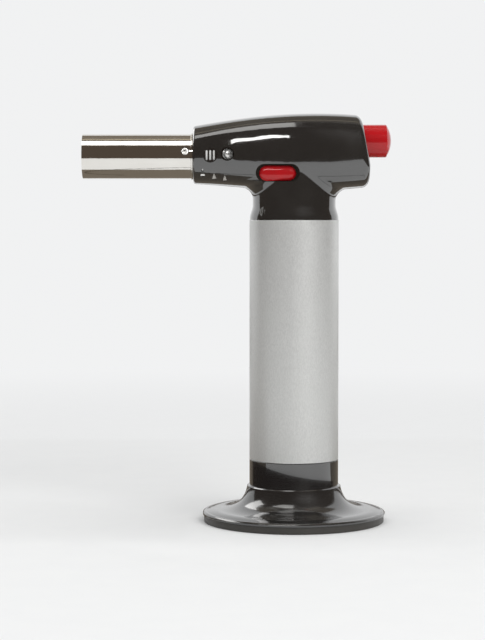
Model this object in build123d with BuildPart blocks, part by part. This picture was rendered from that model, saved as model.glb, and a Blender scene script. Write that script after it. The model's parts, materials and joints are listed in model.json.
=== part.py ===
from build123d import *

import math
import os

# Butane torch, in millimetres.
# +Z runs up the handle and the barrel points along -X. The origin is the middle of the
# stand's underside. The near side of the head is -Y.

# ---- clearances ----
running_gap = 0.05  # a turning or sliding fit, on the radius
thread_gap = 0.02  # a screwed or pressed seat, on the radius
seat_gap = 0.15  # a hand fit, on the radius
free_gap = 0.3  # between moving pieces that never touch
rest_gap = 0.05  # between faces that meet only under load

# ---- stand and foot ring ----
foot_height = 2.9
foot_outer_r = 38.5
foot_inner_r = 34.6
rim_r = 39.0
rim_bottom = 3.1
stand_wall = 2.0
collar_wall = 1.85
collar_top = 15.6
ledge_height = 1.6
ledge_inner_r = 15.0
stand_rib_count = 8
stand_rib_thickness = 1.4
# the skirt's curve: out from the collar and down from its top, then in from the rim and down
skirt_curve = [(0.8, 3.5), (2.4, 6.3), (7.7, 9.5)]
brim_curve = [(7.0, 10.2), (1.6, 11.1)]
collar_edge = 0.4

# ---- tank and sleeve ----
handle_r = 19.0
sleeve_wall = 0.65
sleeve_bottom = 26.7
sleeve_top = 128.8
head_base = sleeve_top  # the heights of the head are set from here
tank_wall = 2.0
spigot_length = 6.6
shoulder_step = 1.0  # how far the spigot stands in from the band
lid_disc = 2.4
lid_plug = 4.0
lid_neck_r = 12.0
lid_neck_height = 7.6
lid_groove_depth = 1.0
lid_groove_bottom = 2.6  # above the lid's disc
lid_groove_height = 2.0

# ---- refill valve ----
refill_entry_r = 1.6
refill_entry_length = 3.5
refill_flange_r = 5.0
refill_flange_height = 1.5
refill_thread_r = 3.5
refill_chamber_r = 2.4
refill_passage_r = 0.6
refill_roof = 1.5
refill_boss_r = 6.0
refill_boss_height = 6.0
refill_seal_wire_r = 0.45
refill_nose_r = 1.2
refill_head_length = 2.5
refill_guide_r = 1.0
refill_guide_length = 3.0
refill_travel = 2.0
refill_spring_wire_r = 0.25
refill_spring_solid = 4.05  # the spring's length when pressed home

# ---- main valve, on the handle's axis ----
valve_thread_r = 4.0
valve_hex_across = 12.0
valve_hex_height = 3.0
valve_barrel_r = 4.5
valve_barrel_top = head_base + 16.1
valve_neck_r = 3.0
valve_top = head_base + 21.2
valve_chamber_r = 2.2
valve_chamber_bottom = head_base + 4.6
valve_chamber_top = head_base + 14.6
valve_inlet_r = 0.9
valve_inlet_reach = 4.0  # below the lid's plug
valve_stem_r = 1.25
valve_collar_r = 2.0
valve_collar_height = 2.0
valve_seal_wire_r = 0.4
valve_spring_wire_r = 0.3
valve_outlet_z = head_base + 13.2
filter_r = 2.6
filter_length = 4.0
clip_height = 0.5
clip_r = 5.0
clip_groove = 0.4
clip_mouth = 3.4

# ---- burner, on the barrel's axis ----
flame_z = head_base + 27
barrel_r = 9.5
barrel_wall = 0.7
barrel_front = -89.8
barrel_seat_step = 0.25  # the barrel is this much slimmer inside the head
barrel_back = -31.5
bead_width = 0.9  # the raised bead where the barrel meets the head
bead_height = 0.4
air_hole_x = -36.0
air_hole_r = 2.6
block_back = -24.0
block_r = 9.2
block_spigot_front = -43.0
mixing_tube_r = 5.0
mixing_tube_wall = 0.7
mixing_tube_back = -38.5
mixing_tube_front = barrel_front + 20.8
collar_front = -50.0
collar_back = -44.0
collar_hole_r = 1.0
holder_front = barrel_front + 17.8
holder_back = barrel_front + 23.8
port_r = 0.8
port_circle_r = 3.3
port_count = 8
centre_port_r = 1.6
gauze_thickness = 0.4
gauze_hole_r = 0.42
gauze_pitch = 1.3
jet_hex_across = 6.4
jet_hex_length = 3.0
jet_thread_r = 2.5
jet_tip_r = 1.4
jet_tip_length = 2.5
jet_bore_r = 0.5
jet_orifice_r = 0.15
barb_r = 0.8
barb_length = 3.0

# ---- spark ----
spark_gap_in = 0.4  # between the mixing tube and the insulator
spark_gap_out = 0.3  # between the insulator and the barrel
insulator_r = (barrel_r - barrel_wall - mixing_tube_r - spark_gap_in - spark_gap_out) / 2
spark_offset = mixing_tube_r + spark_gap_in + insulator_r  # above the barrel's axis
insulator_head_r = 2.2
insulator_head_length = 1.4
insulator_front = barrel_front + 16.8
electrode_r = 0.5
electrode_back = -19.0
electrode_bend = barrel_front + 15.3
electrode_tip_x = barrel_front + 12.5
electrode_tip_drop = 4.2

# ---- head shells ----
shell_wall = 2.0
parting_gap = 0.05  # each shell stops this far from the middle plane
head_front = -42.9
head_back = 31.6
neck_step = 0.1  # how far the neck's foot stands in from the sleeve
neck_flare = 1.2
neck_flare_height = 6.5
neck_blend_r = 5.0
rear_edge_r = 3.2
front_edge_r = 1.2
rear_slope_top = Vector(28.3, 0, head_base + 41.6)
rear_slope_bottom_z = head_base + 23.1
head_half = handle_r - 0.7  # half the head's greatest width
# x, top and bottom above the sleeve, half width and squareness of the head's cross-sections
head_sections = [
    (-46.0, 39.2, 15.5, head_half - 5.8, 2.1),
    (-35.3, 41.1, 14.9, head_half - 3.7, 2.4),
    (-23.8, 42.8, 14.0, head_half - 1.7, 2.8),
    (-6.0, 44.6, 12.8, head_half, 3.0),
    (10.8, 45.1, 12.6, head_half, 3.0),
    (23.6, 44.7, 13.3, head_half - 1.1, 2.8),
    (36.0, 43.2, 14.5, head_half - 2.9, 2.6),
]

# ---- button and piezo ----
button_z = head_base + 33.5
button_r = 6.95
button_tip = 41.1
button_dome_r = 12.0
button_wall = 1.6
button_flange_r = 7.9
button_travel = 5.0
cradle_x = -8.6
rear_web_z = head_base + 14.8
button_hole_gap = 0.25
piezo_front = -10.0
piezo_back = 16.0
plunger_stand_off = 3.0  # left between button and piezo when pressed home
piezo_width = 12.0
piezo_height = 10.0
piezo_shoulder_width = 13.6
piezo_shoulder_length = 2.5
piezo_bore_r = 3.6
piezo_bore_front = -1.0
plunger_inner = 10.0
crystal_r = 2.6
crystal_length = 7.8
piezo_spring_wire_r = 0.35
lead_r = 0.7
lead_bend_r = 1.8

# ---- valve cam and yoke ----
cam_slope = 0.2  # lift for each millimetre of button travel
cam_base_z = head_base + 21.8
cam_height_at_axis = 2.0
cam_front = -8.0
cam_slope_end = 12.0
cam_rail_inner = 2.0
cam_rail_outer = 3.8
cam_post_length = 2.0
yoke_length = 7.0
yoke_half_width = 4.1
yoke_top = head_base + 26.9

# ---- flow control ----
knob_x = -7.3
knob_z = head_base + 19.6
knob_length = 15.4
knob_height = 5.8
knob_depth = 3.2
recess_x = -7.3
recess_z = head_base + 19.7
recess_length = 18.4
recess_height = 7.3
recess_floor_y = -13.4
tray_thickness = 1.6
tray_margin = 1.2
flow_travel = 1.3
flow_pin_r = 1.0
flow_pin_reach = 9.0
flow_ring_r = 5.6
flow_ring_height = 3.9
flow_arm_height = 1.5
flow_arm_half_width = 1.6
slider_height = 3.0
slider_plate = 1.5
slider_neck_length = 4.4
fork_arm = 1.5
fork_depth = 2.9

# ---- vents and screws ----
vent_x = -35.5
vent_z = head_base + 27.1
vent_r = 3.1
vent_floor_y = 13.8
vent_slot_width = 0.9
vent_slot_height = 4.4
vent_slot_pitch = 1.5
screw_x = -28.4
screw_z = head_base + 27.6
screw_recess_r = 2.9
screw_floor_y = 12.2
screw_boss_r = 4.3
screw_head_r = 1.9
screw_head_height = 1.5
screw_shank_r = 1.1
screw_reach_y = 5.0
# x, base above the sleeve, width and height of the three drop-shaped air slots
drop_slots = [(-38.8, 18.4, 2.2, 3.9), (-34.0, 17.1, 2.1, 2.8), (-29.5, 16.4, 1.9, 2.8)]
drop_bar = 1.0  # the web across the first slot
drop_cut_y = 7.0  # how near the middle plane the slots are cut
drop_bar_height = 1.4  # above the slot's base
rib_thickness = 1.6
pocket_gap = 0.05  # between the piezo and its ribs
lower_pocket_half = 4.3
dowel_places = [(25.0, head_base + 18.8), (-18.5, head_base + 38.2)]
dowel_boss_r = 2.2
dowel_r = 1.0
dowel_length = 2.0
barrel_screw_x = -46.2
barrel_screw_angle = 12.0
barrel_screw_r = 1.65
barrel_screw_sunk = 0.3
barrel_screw_clearance = 0.6  # between its inner end and the mixing tube
barrel_screw_socket = 1.5

# ---- hose ----
tube_r = 1.5
tube_bore_r = barb_r + thread_gap


# ---- values worked out from the ones above ----
tank_floor = collar_top - spigot_length
spigot_r = handle_r - shoulder_step
tank_inner_r = handle_r - sleeve_wall - seat_gap - tank_wall
tank_core_r = handle_r - sleeve_wall - seat_gap
tank_top = sleeve_top - lid_disc
lid_neck_top = sleeve_top + lid_neck_height
groove_bottom = sleeve_top + lid_groove_bottom
groove_top = groove_bottom + lid_groove_height
refill_mouth = tank_floor - refill_flange_height
refill_shoulder = refill_mouth + refill_entry_length
refill_head_bottom = refill_shoulder + 2 * refill_seal_wire_r + rest_gap
refill_head_top = refill_head_bottom + refill_head_length
refill_chamber_top = refill_head_top + refill_travel + refill_spring_solid
valve_bottom = tank_top - lid_plug - valve_inlet_reach
stem_collar_bottom = valve_chamber_bottom + 2 * valve_seal_wire_r + rest_gap
stem_collar_top = stem_collar_bottom + valve_collar_height
ring_bottom = valve_barrel_top + running_gap
ring_top = ring_bottom + flow_ring_height
clip_bottom = ring_top + running_gap
jet_hex_front = block_back
jet_hex_back = block_back + jet_hex_length
barrel_inner_r = barrel_r - barrel_wall
burner_fit_r = barrel_inner_r - thread_gap
spark_z = flame_z + spark_offset
button_inner = piezo_back + button_travel + plunger_stand_off
neck_bottom_r = handle_r - neck_step
neck_r = neck_bottom_r - neck_flare
os.makedirs("parts", exist_ok=True)


def across(x, z=flame_z):
    """A plane square to the barrel's axis, at x, with its own x towards +Y."""
    return Plane(origin=(x, 0, z), x_dir=(0, 1, 0), z_dir=(1, 0, 0))


def facing_near(y):
    """A plane square to Y, at y, whose own x and y are the object's X and Z."""
    return Plane(origin=(0, y, 0), x_dir=(1, 0, 0), z_dir=(0, -1, 0))


def spring_along(path_plane, radius, wire_r, length, turns):
    """A wire spring that stands on path_plane, with both ends inside its length."""
    rise = length - 2 * wire_r
    coil = Helix(pitch=rise / turns, height=rise, radius=radius)
    with BuildPart() as spring:
        with BuildSketch(Plane(origin=coil @ 0, z_dir=coil % 0)):
            Circle(wire_r)
        sweep(path=coil)
    return path_plane.offset(wire_r) * spring.part


def finish(name, shape):
    """Names a finished piece and writes it."""
    shape.label = name
    export_step(shape, f"parts/{name}.step")


# ---- stand: a flared plastic skirt with a socket for the tank's spigot ----
socket_r = spigot_r + seat_gap
collar_r = socket_r + collar_wall
ledge_top = tank_floor - free_gap
ledge_bottom = ledge_top - ledge_height
skirt_under = rim_bottom + 0.2

with BuildPart() as stand:
    with BuildSketch(Plane.XZ):
        with BuildLine():
            skirt = Spline(
                (collar_r, collar_top - collar_edge),
                *[(collar_r + out, collar_top - down) for out, down in skirt_curve],
                *[(rim_r - back, collar_top - down) for back, down in brim_curve],
                tangents=((0.1, -1), (1, -0.35)),
            )
            rim = RadiusArc(skirt @ 1, (rim_r, rim_bottom + 0.7), 1.4)
            Line(rim @ 1, (rim_r, rim_bottom))
            Line((rim_r, rim_bottom), (rim_r - stand_wall, rim_bottom))
            Line((rim_r - stand_wall, rim_bottom), (rim_r - stand_wall, skirt_under))
            under = Spline(
                (rim_r - stand_wall, skirt_under),
                (collar_r + skirt_curve[-1][0], collar_top - skirt_curve[-1][1] - stand_wall),
                (collar_r + 0.6, ledge_bottom + 0.6),
                tangents=((-1, 0.12), (-0.8, 0.6)),
            )
            Polyline(
                under @ 1,
                (collar_r - collar_wall, ledge_bottom),
                (ledge_inner_r, ledge_bottom),
                (ledge_inner_r, ledge_top),
                (socket_r, ledge_top),
                (socket_r, collar_top),
                (collar_r - collar_edge, collar_top),
                (collar_r, collar_top - collar_edge),
            )
        make_face()
    revolve(axis=Axis.Z)
    # radial ribs and a ring under the skirt, clear of the floor
    rib_bottom = 0.8
    with BuildSketch(Plane.XZ):
        with BuildLine():
            Polyline(
                (ledge_inner_r, ledge_bottom + 0.5),
                (ledge_inner_r, rib_bottom),
                (ledge_inner_r + stand_rib_thickness, rib_bottom),
                (ledge_inner_r + stand_rib_thickness, ledge_bottom + 0.5),
                close=True,
            )
        make_face()
    revolve(axis=Axis.Z)
    with BuildSketch(Plane.XZ) as rib_profile:
        with BuildLine():
            Polyline(
                (ledge_inner_r + 0.5, rib_bottom),
                (foot_inner_r - free_gap, rib_bottom),
                (foot_inner_r - free_gap, skirt_under + 0.4),
                (collar_r + skirt_curve[-1][0], collar_top - skirt_curve[-1][1] - stand_wall / 2),
                (collar_r + 1.0, ledge_bottom + 0.8),
                (ledge_inner_r + 0.5, ledge_bottom + 0.5),
                close=True,
            )
        make_face()
    stand_rib = extrude(amount=stand_rib_thickness / 2, both=True, mode=Mode.PRIVATE)
    with PolarLocations(0, stand_rib_count, start_angle=22.5):
        add(stand_rib)

finish("stand", stand.part)

# ---- foot ring: a soft ring pressed up inside the rim ----
with BuildPart() as foot_ring:
    with BuildSketch():
        Circle(foot_outer_r)
        Circle(foot_inner_r, mode=Mode.SUBTRACT)
    extrude(amount=foot_height)
    chamfer(foot_ring.edges().group_by(Axis.Z)[0].sort_by(SortBy.LENGTH)[-1:], 0.3)
    with BuildSketch(Plane.XY.offset(foot_height)):
        Circle(rim_r - stand_wall - thread_gap)
        Circle(foot_inner_r, mode=Mode.SUBTRACT)
    extrude(amount=rim_bottom - foot_height)

finish("foot_ring", foot_ring.part)

# ---- tank: the gas reservoir, with its black band below the sleeve ----
with BuildPart() as tank_body:
    with BuildSketch(Plane.XY.offset(tank_floor)):
        Circle(spigot_r)
    extrude(amount=collar_top - tank_floor)
    chamfer(tank_body.edges().group_by(Axis.Z)[0], 0.6)
    with BuildSketch(Plane.XY.offset(collar_top)):
        Circle(handle_r)
    extrude(amount=sleeve_bottom - collar_top)
    fillet(tank_body.edges().group_by(Axis.Z)[-1], 0.25)
    with BuildSketch(Plane.XY.offset(sleeve_bottom)):
        Circle(tank_core_r)
    extrude(amount=tank_top - sleeve_bottom)
    with BuildSketch(Plane.XY.offset(tank_floor + tank_wall)):
        Circle(tank_inner_r)
    extrude(amount=tank_top - tank_floor - tank_wall, mode=Mode.SUBTRACT)
    with BuildSketch(Plane.XY.offset(tank_floor + tank_wall)):
        Circle(refill_boss_r)
    extrude(amount=refill_boss_height)
    with BuildSketch(Plane.XY.offset(tank_floor)):
        Circle(refill_thread_r + thread_gap)
    extrude(amount=tank_wall + refill_boss_height, mode=Mode.SUBTRACT)

finish("tank_body", tank_body.part)

# ---- tank lid: closes the tank and carries the valve and the head shells ----
with BuildPart() as tank_lid:
    with BuildSketch(Plane.XZ):
        with BuildLine():
            Polyline(
                (valve_thread_r + thread_gap, tank_top - lid_plug),
                (tank_inner_r - thread_gap, tank_top - lid_plug),
                (tank_inner_r - thread_gap, tank_top),
                (tank_core_r, tank_top),
                (tank_core_r, sleeve_top),
                (lid_neck_r, sleeve_top),
                (lid_neck_r, groove_bottom),
                (lid_neck_r - lid_groove_depth, groove_bottom),
                (lid_neck_r - lid_groove_depth, groove_top),
                (lid_neck_r, groove_top),
                (lid_neck_r, lid_neck_top),
                (valve_thread_r + thread_gap, lid_neck_top),
                close=True,
            )
        make_face()
    revolve(axis=Axis.Z)

finish("tank_lid", tank_lid.part)

# ---- sleeve: the satin metal tube round the tank ----
with BuildPart() as sleeve:
    with BuildSketch(Plane.XY.offset(sleeve_bottom)):
        Circle(handle_r)
        Circle(handle_r - sleeve_wall, mode=Mode.SUBTRACT)
    extrude(amount=sleeve_top - sleeve_bottom)

finish("sleeve", sleeve.part)

# ---- refill valve: brass body, stem, seal and spring, in the tank's floor ----
with BuildPart() as refill_valve_body:
    with BuildSketch(Plane.XZ):
        with BuildLine():
            Polyline(
                (refill_entry_r, refill_mouth),
                (refill_flange_r, refill_mouth),
                (refill_flange_r, tank_floor),
                (refill_thread_r, tank_floor),
                (refill_thread_r, refill_chamber_top + refill_roof),
                (refill_passage_r, refill_chamber_top + refill_roof),
                (refill_passage_r, refill_chamber_top),
                (refill_chamber_r, refill_chamber_top),
                (refill_chamber_r, refill_shoulder),
                (refill_entry_r, refill_shoulder),
                close=True,
            )
        make_face()
    revolve(axis=Axis.Z)
    # two flats for a key
    with BuildSketch(Plane.XY.offset(refill_mouth)):
        with Locations((0, refill_flange_r), (0, -refill_flange_r)):
            Rectangle(2 * refill_flange_r, 1.6)
    extrude(amount=refill_flange_height, mode=Mode.SUBTRACT)

finish("refill_valve_body", refill_valve_body.part)

with BuildPart() as refill_stem:
    with BuildSketch(Plane.XZ):
        with BuildLine():
            Polyline(
                (0, refill_shoulder + rest_gap),
                (refill_nose_r, refill_shoulder + rest_gap),
                (refill_nose_r, refill_head_bottom),
                (refill_chamber_r - running_gap, refill_head_bottom),
                (refill_chamber_r - running_gap, refill_head_top),
                (refill_guide_r, refill_head_top),
                (refill_guide_r, refill_head_top + refill_guide_length),
                (0, refill_head_top + refill_guide_length),
                close=True,
            )
        make_face()
    revolve(axis=Axis.Z)

finish("refill_stem", refill_stem.part)

with BuildPart() as refill_seal:
    seal_middle_r = refill_chamber_r - refill_seal_wire_r - running_gap
    with BuildSketch(Plane.XZ):
        with Locations((seal_middle_r, refill_shoulder + refill_seal_wire_r)):
            Circle(refill_seal_wire_r)
    revolve(axis=Axis.Z)

finish("refill_seal", refill_seal.part)

refill_spring = spring_along(
    Plane.XY.offset(refill_head_top),
    refill_chamber_r - refill_spring_wire_r - 4 * running_gap,
    refill_spring_wire_r,
    refill_chamber_top - refill_head_top,
    5,
)
finish("refill_spring", refill_spring)

# ---- main valve: brass body screwed through the lid, outlet towards the burner ----
with BuildPart() as valve_body:
    with BuildSketch(Plane.XY.offset(valve_bottom)):
        Circle(valve_thread_r)
    extrude(amount=lid_neck_top - valve_bottom)
    with BuildSketch(Plane.XY.offset(lid_neck_top)):
        RegularPolygon(valve_hex_across / 2, 6, major_radius=False)
    extrude(amount=valve_hex_height)
    with BuildSketch(Plane.XY.offset(lid_neck_top + valve_hex_height)):
        Circle(valve_barrel_r)
    extrude(amount=valve_barrel_top - lid_neck_top - valve_hex_height)
    with BuildSketch(Plane.XY.offset(valve_barrel_top)):
        Circle(valve_neck_r)
    extrude(amount=valve_top - valve_barrel_top)
    with BuildSketch(across(-valve_barrel_r + 1.0)):
        with Locations((0, valve_outlet_z - flame_z)):
            Circle(barb_r)
    extrude(amount=-(1.0 + barb_length + 2.0))
    # groove for the spring clip
    with BuildSketch(Plane.XY.offset(clip_bottom - running_gap)):
        Circle(valve_neck_r + 1.0)
        Circle(valve_neck_r - clip_groove, mode=Mode.SUBTRACT)
    extrude(amount=clip_height + 2 * running_gap, mode=Mode.SUBTRACT)
    # filter pocket, inlet, chamber, stem hole and outlet
    with BuildSketch(Plane.XY.offset(valve_bottom)):
        Circle(filter_r + thread_gap)
    extrude(amount=filter_length, mode=Mode.SUBTRACT)
    with BuildSketch(Plane.XY.offset(valve_bottom)):
        Circle(valve_inlet_r)
    extrude(amount=valve_chamber_bottom - valve_bottom, mode=Mode.SUBTRACT)
    with BuildSketch(Plane.XY.offset(valve_chamber_bottom)):
        Circle(valve_chamber_r)
    extrude(amount=valve_chamber_top - valve_chamber_bottom, mode=Mode.SUBTRACT)
    with BuildSketch(Plane.XY.offset(valve_chamber_top)):
        Circle(valve_stem_r + running_gap)
    extrude(amount=valve_top - valve_chamber_top, mode=Mode.SUBTRACT)
    with BuildSketch(across(-valve_chamber_r + 0.5)):
        with Locations((0, valve_outlet_z - flame_z)):
            Circle(jet_bore_r)
    extrude(amount=-(valve_barrel_r + barb_length + 3.0), mode=Mode.SUBTRACT)

finish("valve_body", valve_body.part)

with BuildPart() as gas_filter:
    with BuildSketch(Plane.XY.offset(valve_bottom)):
        Circle(filter_r)
    extrude(amount=filter_length - rest_gap)

finish("gas_filter", gas_filter.part)

with BuildPart() as valve_stem:
    with BuildSketch(Plane.XY.offset(stem_collar_bottom)):
        Circle(valve_collar_r)
    extrude(amount=valve_collar_height)
    with BuildSketch(Plane.XY.offset(stem_collar_top)):
        Circle(valve_stem_r)
    extrude(amount=yoke_top - stem_collar_top)

finish("valve_stem", valve_stem.part)

with BuildPart() as valve_seal:
    with BuildSketch(Plane.XZ):
        with Locations((valve_inlet_r + valve_seal_wire_r + 0.2, valve_chamber_bottom + valve_seal_wire_r)):
            Circle(valve_seal_wire_r)
    revolve(axis=Axis.Z)

finish("valve_seal", valve_seal.part)

valve_spring = spring_along(
    Plane.XY.offset(stem_collar_top),
    valve_chamber_r - valve_spring_wire_r - running_gap,
    valve_spring_wire_r,
    valve_chamber_top - stem_collar_top,
    6,
)
finish("valve_spring", valve_spring)

with BuildPart() as valve_clip:
    with BuildSketch(Plane.XY.offset(clip_bottom)):
        Circle(clip_r)
        Circle(valve_neck_r - clip_groove + running_gap, mode=Mode.SUBTRACT)
        with Locations((clip_r, 0)):
            Rectangle(2 * clip_r, clip_mouth, mode=Mode.SUBTRACT)
    extrude(amount=clip_height)

finish("valve_clip", valve_clip.part)

# ---- valve yoke: sits on the stem and rides the cam's two sloped rails ----
cam_top_at_axis = cam_base_z + cam_height_at_axis
yoke_seat = cam_top_at_axis + rest_gap
yoke_rise = cam_slope * yoke_length / 2

with BuildPart() as valve_yoke:
    with BuildSketch(facing_near(0)):
        with BuildLine():
            Polyline(
                (-yoke_length / 2, yoke_seat - yoke_rise),
                (yoke_length / 2, yoke_seat + yoke_rise),
                (yoke_length / 2, yoke_top),
                (-yoke_length / 2, yoke_top),
                close=True,
            )
        make_face()
    extrude(amount=yoke_half_width, both=True)
    fillet(valve_yoke.edges().filter_by(Axis.Z), 0.8)
    with BuildSketch(Plane.XY.offset(cam_base_z)):
        Circle(valve_stem_r + thread_gap)
    extrude(amount=yoke_top - cam_base_z, mode=Mode.SUBTRACT)

finish("valve_yoke", valve_yoke.part)

# ---- valve cam: two rails on a post that the button pushes ----
with BuildPart() as valve_cam:
    with BuildSketch(facing_near(0)):
        with BuildLine():
            Polyline(
                (cam_front, cam_base_z),
                (button_inner, cam_base_z),
                (button_inner, cam_top_at_axis + cam_slope * cam_slope_end),
                (cam_slope_end, cam_top_at_axis + cam_slope * cam_slope_end),
                (cam_front, cam_top_at_axis + cam_slope * cam_front),
                close=True,
            )
        make_face()
    extrude(amount=cam_rail_outer, both=True)
    # the way between the rails, open at the front
    with BuildSketch(Plane.XY.offset(cam_base_z)):
        with BuildLine():
            Polyline(
                (cam_front, -cam_rail_inner),
                (button_inner - cam_post_length - 2.0, -cam_rail_inner),
                (button_inner - cam_post_length - 2.0, cam_rail_inner),
                (cam_front, cam_rail_inner),
                close=True,
            )
        make_face()
    extrude(amount=button_z - cam_base_z, mode=Mode.SUBTRACT)
    with BuildSketch(across(button_inner, 0)):
        with Locations((0, (cam_base_z + button_z - button_r + 2.0) / 2)):
            Rectangle(2 * cam_rail_outer, button_z - button_r + 2.0 - cam_base_z)
    extrude(amount=-cam_post_length)

finish("valve_cam", valve_cam.part)

# ---- flow lever: turns on the valve's neck, with a pin in the slider's fork ----
with BuildPart() as flow_lever:
    with BuildSketch(Plane.XY.offset(ring_bottom)):
        Circle(flow_ring_r)
    extrude(amount=flow_ring_height)
    with BuildSketch(Plane.XY.offset(ring_bottom)):
        with Locations((0, -flow_pin_reach / 2)):
            Rectangle(2 * flow_arm_half_width, flow_pin_reach)
        with Locations((0, -flow_pin_reach)):
            Circle(flow_arm_half_width)
    extrude(amount=flow_arm_height)
    slider_bottom = knob_z - slider_height / 2
    with BuildSketch(Plane.XY.offset(ring_bottom + flow_arm_height)):
        with Locations((0, -flow_pin_reach)):
            Circle(flow_pin_r)
    extrude(amount=slider_bottom + slider_height - ring_bottom - flow_arm_height - rest_gap)
    with BuildSketch(Plane.XY.offset(ring_bottom)):
        Circle(valve_neck_r + running_gap)
    extrude(amount=flow_ring_height, mode=Mode.SUBTRACT)

finish("flow_lever", flow_lever.part)

# ---- flow slider: a plate behind the shell, with a neck outwards and a fork inwards ----
tray_back_y = recess_floor_y + tray_thickness
plate_y = tray_back_y + running_gap
fork_gap = flow_pin_r + 2 * running_gap
fork_end_y = plate_y + slider_plate + fork_depth
neck_out_y = recess_floor_y - 1.2
plate_left = knob_x - slider_neck_length / 2 - 1.0
plate_right = fork_gap + fork_arm

with BuildPart() as flow_slider:
    with BuildSketch(Plane.XY.offset(slider_bottom)):
        with BuildLine():
            Polyline(
                (plate_left, plate_y),
                (plate_right, plate_y),
                (plate_right, fork_end_y),
                (-fork_gap - fork_arm, fork_end_y),
                (-fork_gap - fork_arm, plate_y + slider_plate),
                (plate_left, plate_y + slider_plate),
                close=True,
            )
        make_face()
        with Locations((knob_x, (plate_y + neck_out_y) / 2)):
            Rectangle(slider_neck_length, plate_y - neck_out_y + 0.01)
        with Locations((0, fork_end_y - fork_depth / 2)):
            Rectangle(2 * fork_gap, fork_depth, mode=Mode.SUBTRACT)
    extrude(amount=slider_height)

finish("flow_slider", flow_slider.part)

with BuildPart() as flow_knob:
    with BuildSketch(facing_near(recess_floor_y - running_gap)):
        with Locations((knob_x, knob_z)):
            SlotOverall(knob_length, knob_height)
    extrude(amount=knob_depth)
    fillet(flow_knob.faces().sort_by(Axis.Y)[0].edges(), 0.7)
    with BuildSketch(facing_near(recess_floor_y)):
        with Locations((knob_x, knob_z)):
            Rectangle(slider_neck_length + 2 * thread_gap, slider_height + 2 * thread_gap)
    extrude(amount=1.2 + thread_gap, mode=Mode.SUBTRACT)

finish("flow_knob", flow_knob.part)

# ---- barrel: the polished flame tube ----
with BuildPart() as barrel:
    with BuildSketch(across(barrel_front)):
        Circle(barrel_r)
    extrude(amount=head_front - barrel_front)
    with BuildSketch(across(head_front - bead_width)):
        Circle(barrel_r + bead_height)
    extrude(amount=bead_width)
    bead_edges = barrel.edges().filter_by(lambda e: e.geom_type == GeomType.CIRCLE and e.radius > barrel_r + 0.1)
    fillet(bead_edges, bead_height * 0.6)
    with BuildSketch(across(head_front)):
        Circle(barrel_r - barrel_seat_step)
    extrude(amount=barrel_back - head_front)
    with BuildSketch(across(barrel_front)):
        Circle(barrel_inner_r)
    extrude(amount=barrel_back - barrel_front, mode=Mode.SUBTRACT)
    # air holes above and below
    with BuildSketch(Plane.XY.offset(flame_z)):
        with Locations((air_hole_x, 0)):
            Circle(air_hole_r)
    extrude(amount=barrel_r + 1, both=True, mode=Mode.SUBTRACT)
    # hole for the fixing screw
    screw_plane = Plane(
        origin=(barrel_screw_x, 0, flame_z),
        x_dir=(1, 0, 0),
        z_dir=(
            0,
            -math.cos(math.radians(barrel_screw_angle)),
            math.sin(math.radians(barrel_screw_angle)),
        ),
    )
    with BuildSketch(screw_plane):
        Circle(barrel_screw_r + running_gap)
    extrude(amount=barrel_r + 1, mode=Mode.SUBTRACT)

finish("barrel", barrel.part)

# ---- barrel screw: a socket set screw, its end just under the barrel's surface ----
with BuildPart() as barrel_screw:
    screw_top = barrel_r - barrel_screw_sunk
    screw_foot = mixing_tube_r + barrel_screw_clearance
    with BuildSketch(screw_plane.offset(screw_foot)):
        Circle(barrel_screw_r)
    extrude(amount=screw_top - screw_foot)
    chamfer(barrel_screw.edges().filter_by(GeomType.CIRCLE), 0.2)
    with BuildSketch(screw_plane.offset(screw_top)):
        RegularPolygon(barrel_screw_socket / 2, 6, major_radius=False)
    extrude(amount=-1.2, mode=Mode.SUBTRACT)

finish("barrel_screw", barrel_screw.part)

# ---- burner block: carries the barrel, the jet and the head's screws ----
with BuildPart() as burner_block:
    with BuildSketch(across(block_back)):
        Circle(block_r)
    extrude(amount=barrel_back - block_back)
    with BuildSketch(across(barrel_back)):
        Circle(burner_fit_r)
    extrude(amount=block_spigot_front - barrel_back)
    # the spigot is a ring: air gathers in it and the mixing tube seats in its front
    with BuildSketch(across(block_spigot_front)):
        Circle(mixing_tube_r + thread_gap)
    extrude(amount=barrel_back - block_spigot_front + 1.5, mode=Mode.SUBTRACT)
    with BuildSketch(Plane.XY.offset(flame_z)):
        with Locations((air_hole_x, 0)):
            Circle(air_hole_r)
    extrude(amount=barrel_r + 1, both=True, mode=Mode.SUBTRACT)
    # jet, insulator and screw holes
    with BuildSketch(across(block_back)):
        Circle(jet_thread_r + thread_gap)
    extrude(amount=barrel_back - block_back, mode=Mode.SUBTRACT)
    with BuildSketch(across(block_back)):
        with Locations((0, spark_offset)):
            Circle(insulator_r + thread_gap)
    extrude(amount=block_spigot_front - block_back, mode=Mode.SUBTRACT)
    with BuildSketch(facing_near(0)):
        with Locations((screw_x, screw_z)):
            Circle(screw_shank_r + thread_gap)
    extrude(amount=block_r + 1, both=True, mode=Mode.SUBTRACT)

finish("burner_block", burner_block.part)

# ---- gas jet: screwed into the block from behind ----
with BuildPart() as gas_jet:
    with BuildSketch(across(jet_hex_front)):
        RegularPolygon(jet_hex_across / 2, 6, major_radius=False)
    extrude(amount=jet_hex_length)
    with BuildSketch(across(jet_hex_front)):
        Circle(jet_thread_r)
    extrude(amount=barrel_back - jet_hex_front + 1.0)
    with BuildSketch(across(barrel_back + 1.0)):
        Circle(jet_tip_r)
    extrude(amount=-(jet_tip_length + 1.0), taper=8)
    with BuildSketch(across(jet_hex_back)):
        Circle(barb_r)
    extrude(amount=barb_length)
    with BuildSketch(across(jet_hex_back + barb_length)):
        Circle(jet_bore_r)
    extrude(amount=-(barb_length + jet_hex_length + 8.5), mode=Mode.SUBTRACT)
    with BuildSketch(across(barrel_back + 1.0)):
        Circle(jet_orifice_r)
    extrude(amount=-(jet_tip_length + 1.0), mode=Mode.SUBTRACT)

finish("gas_jet", gas_jet.part)

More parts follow.
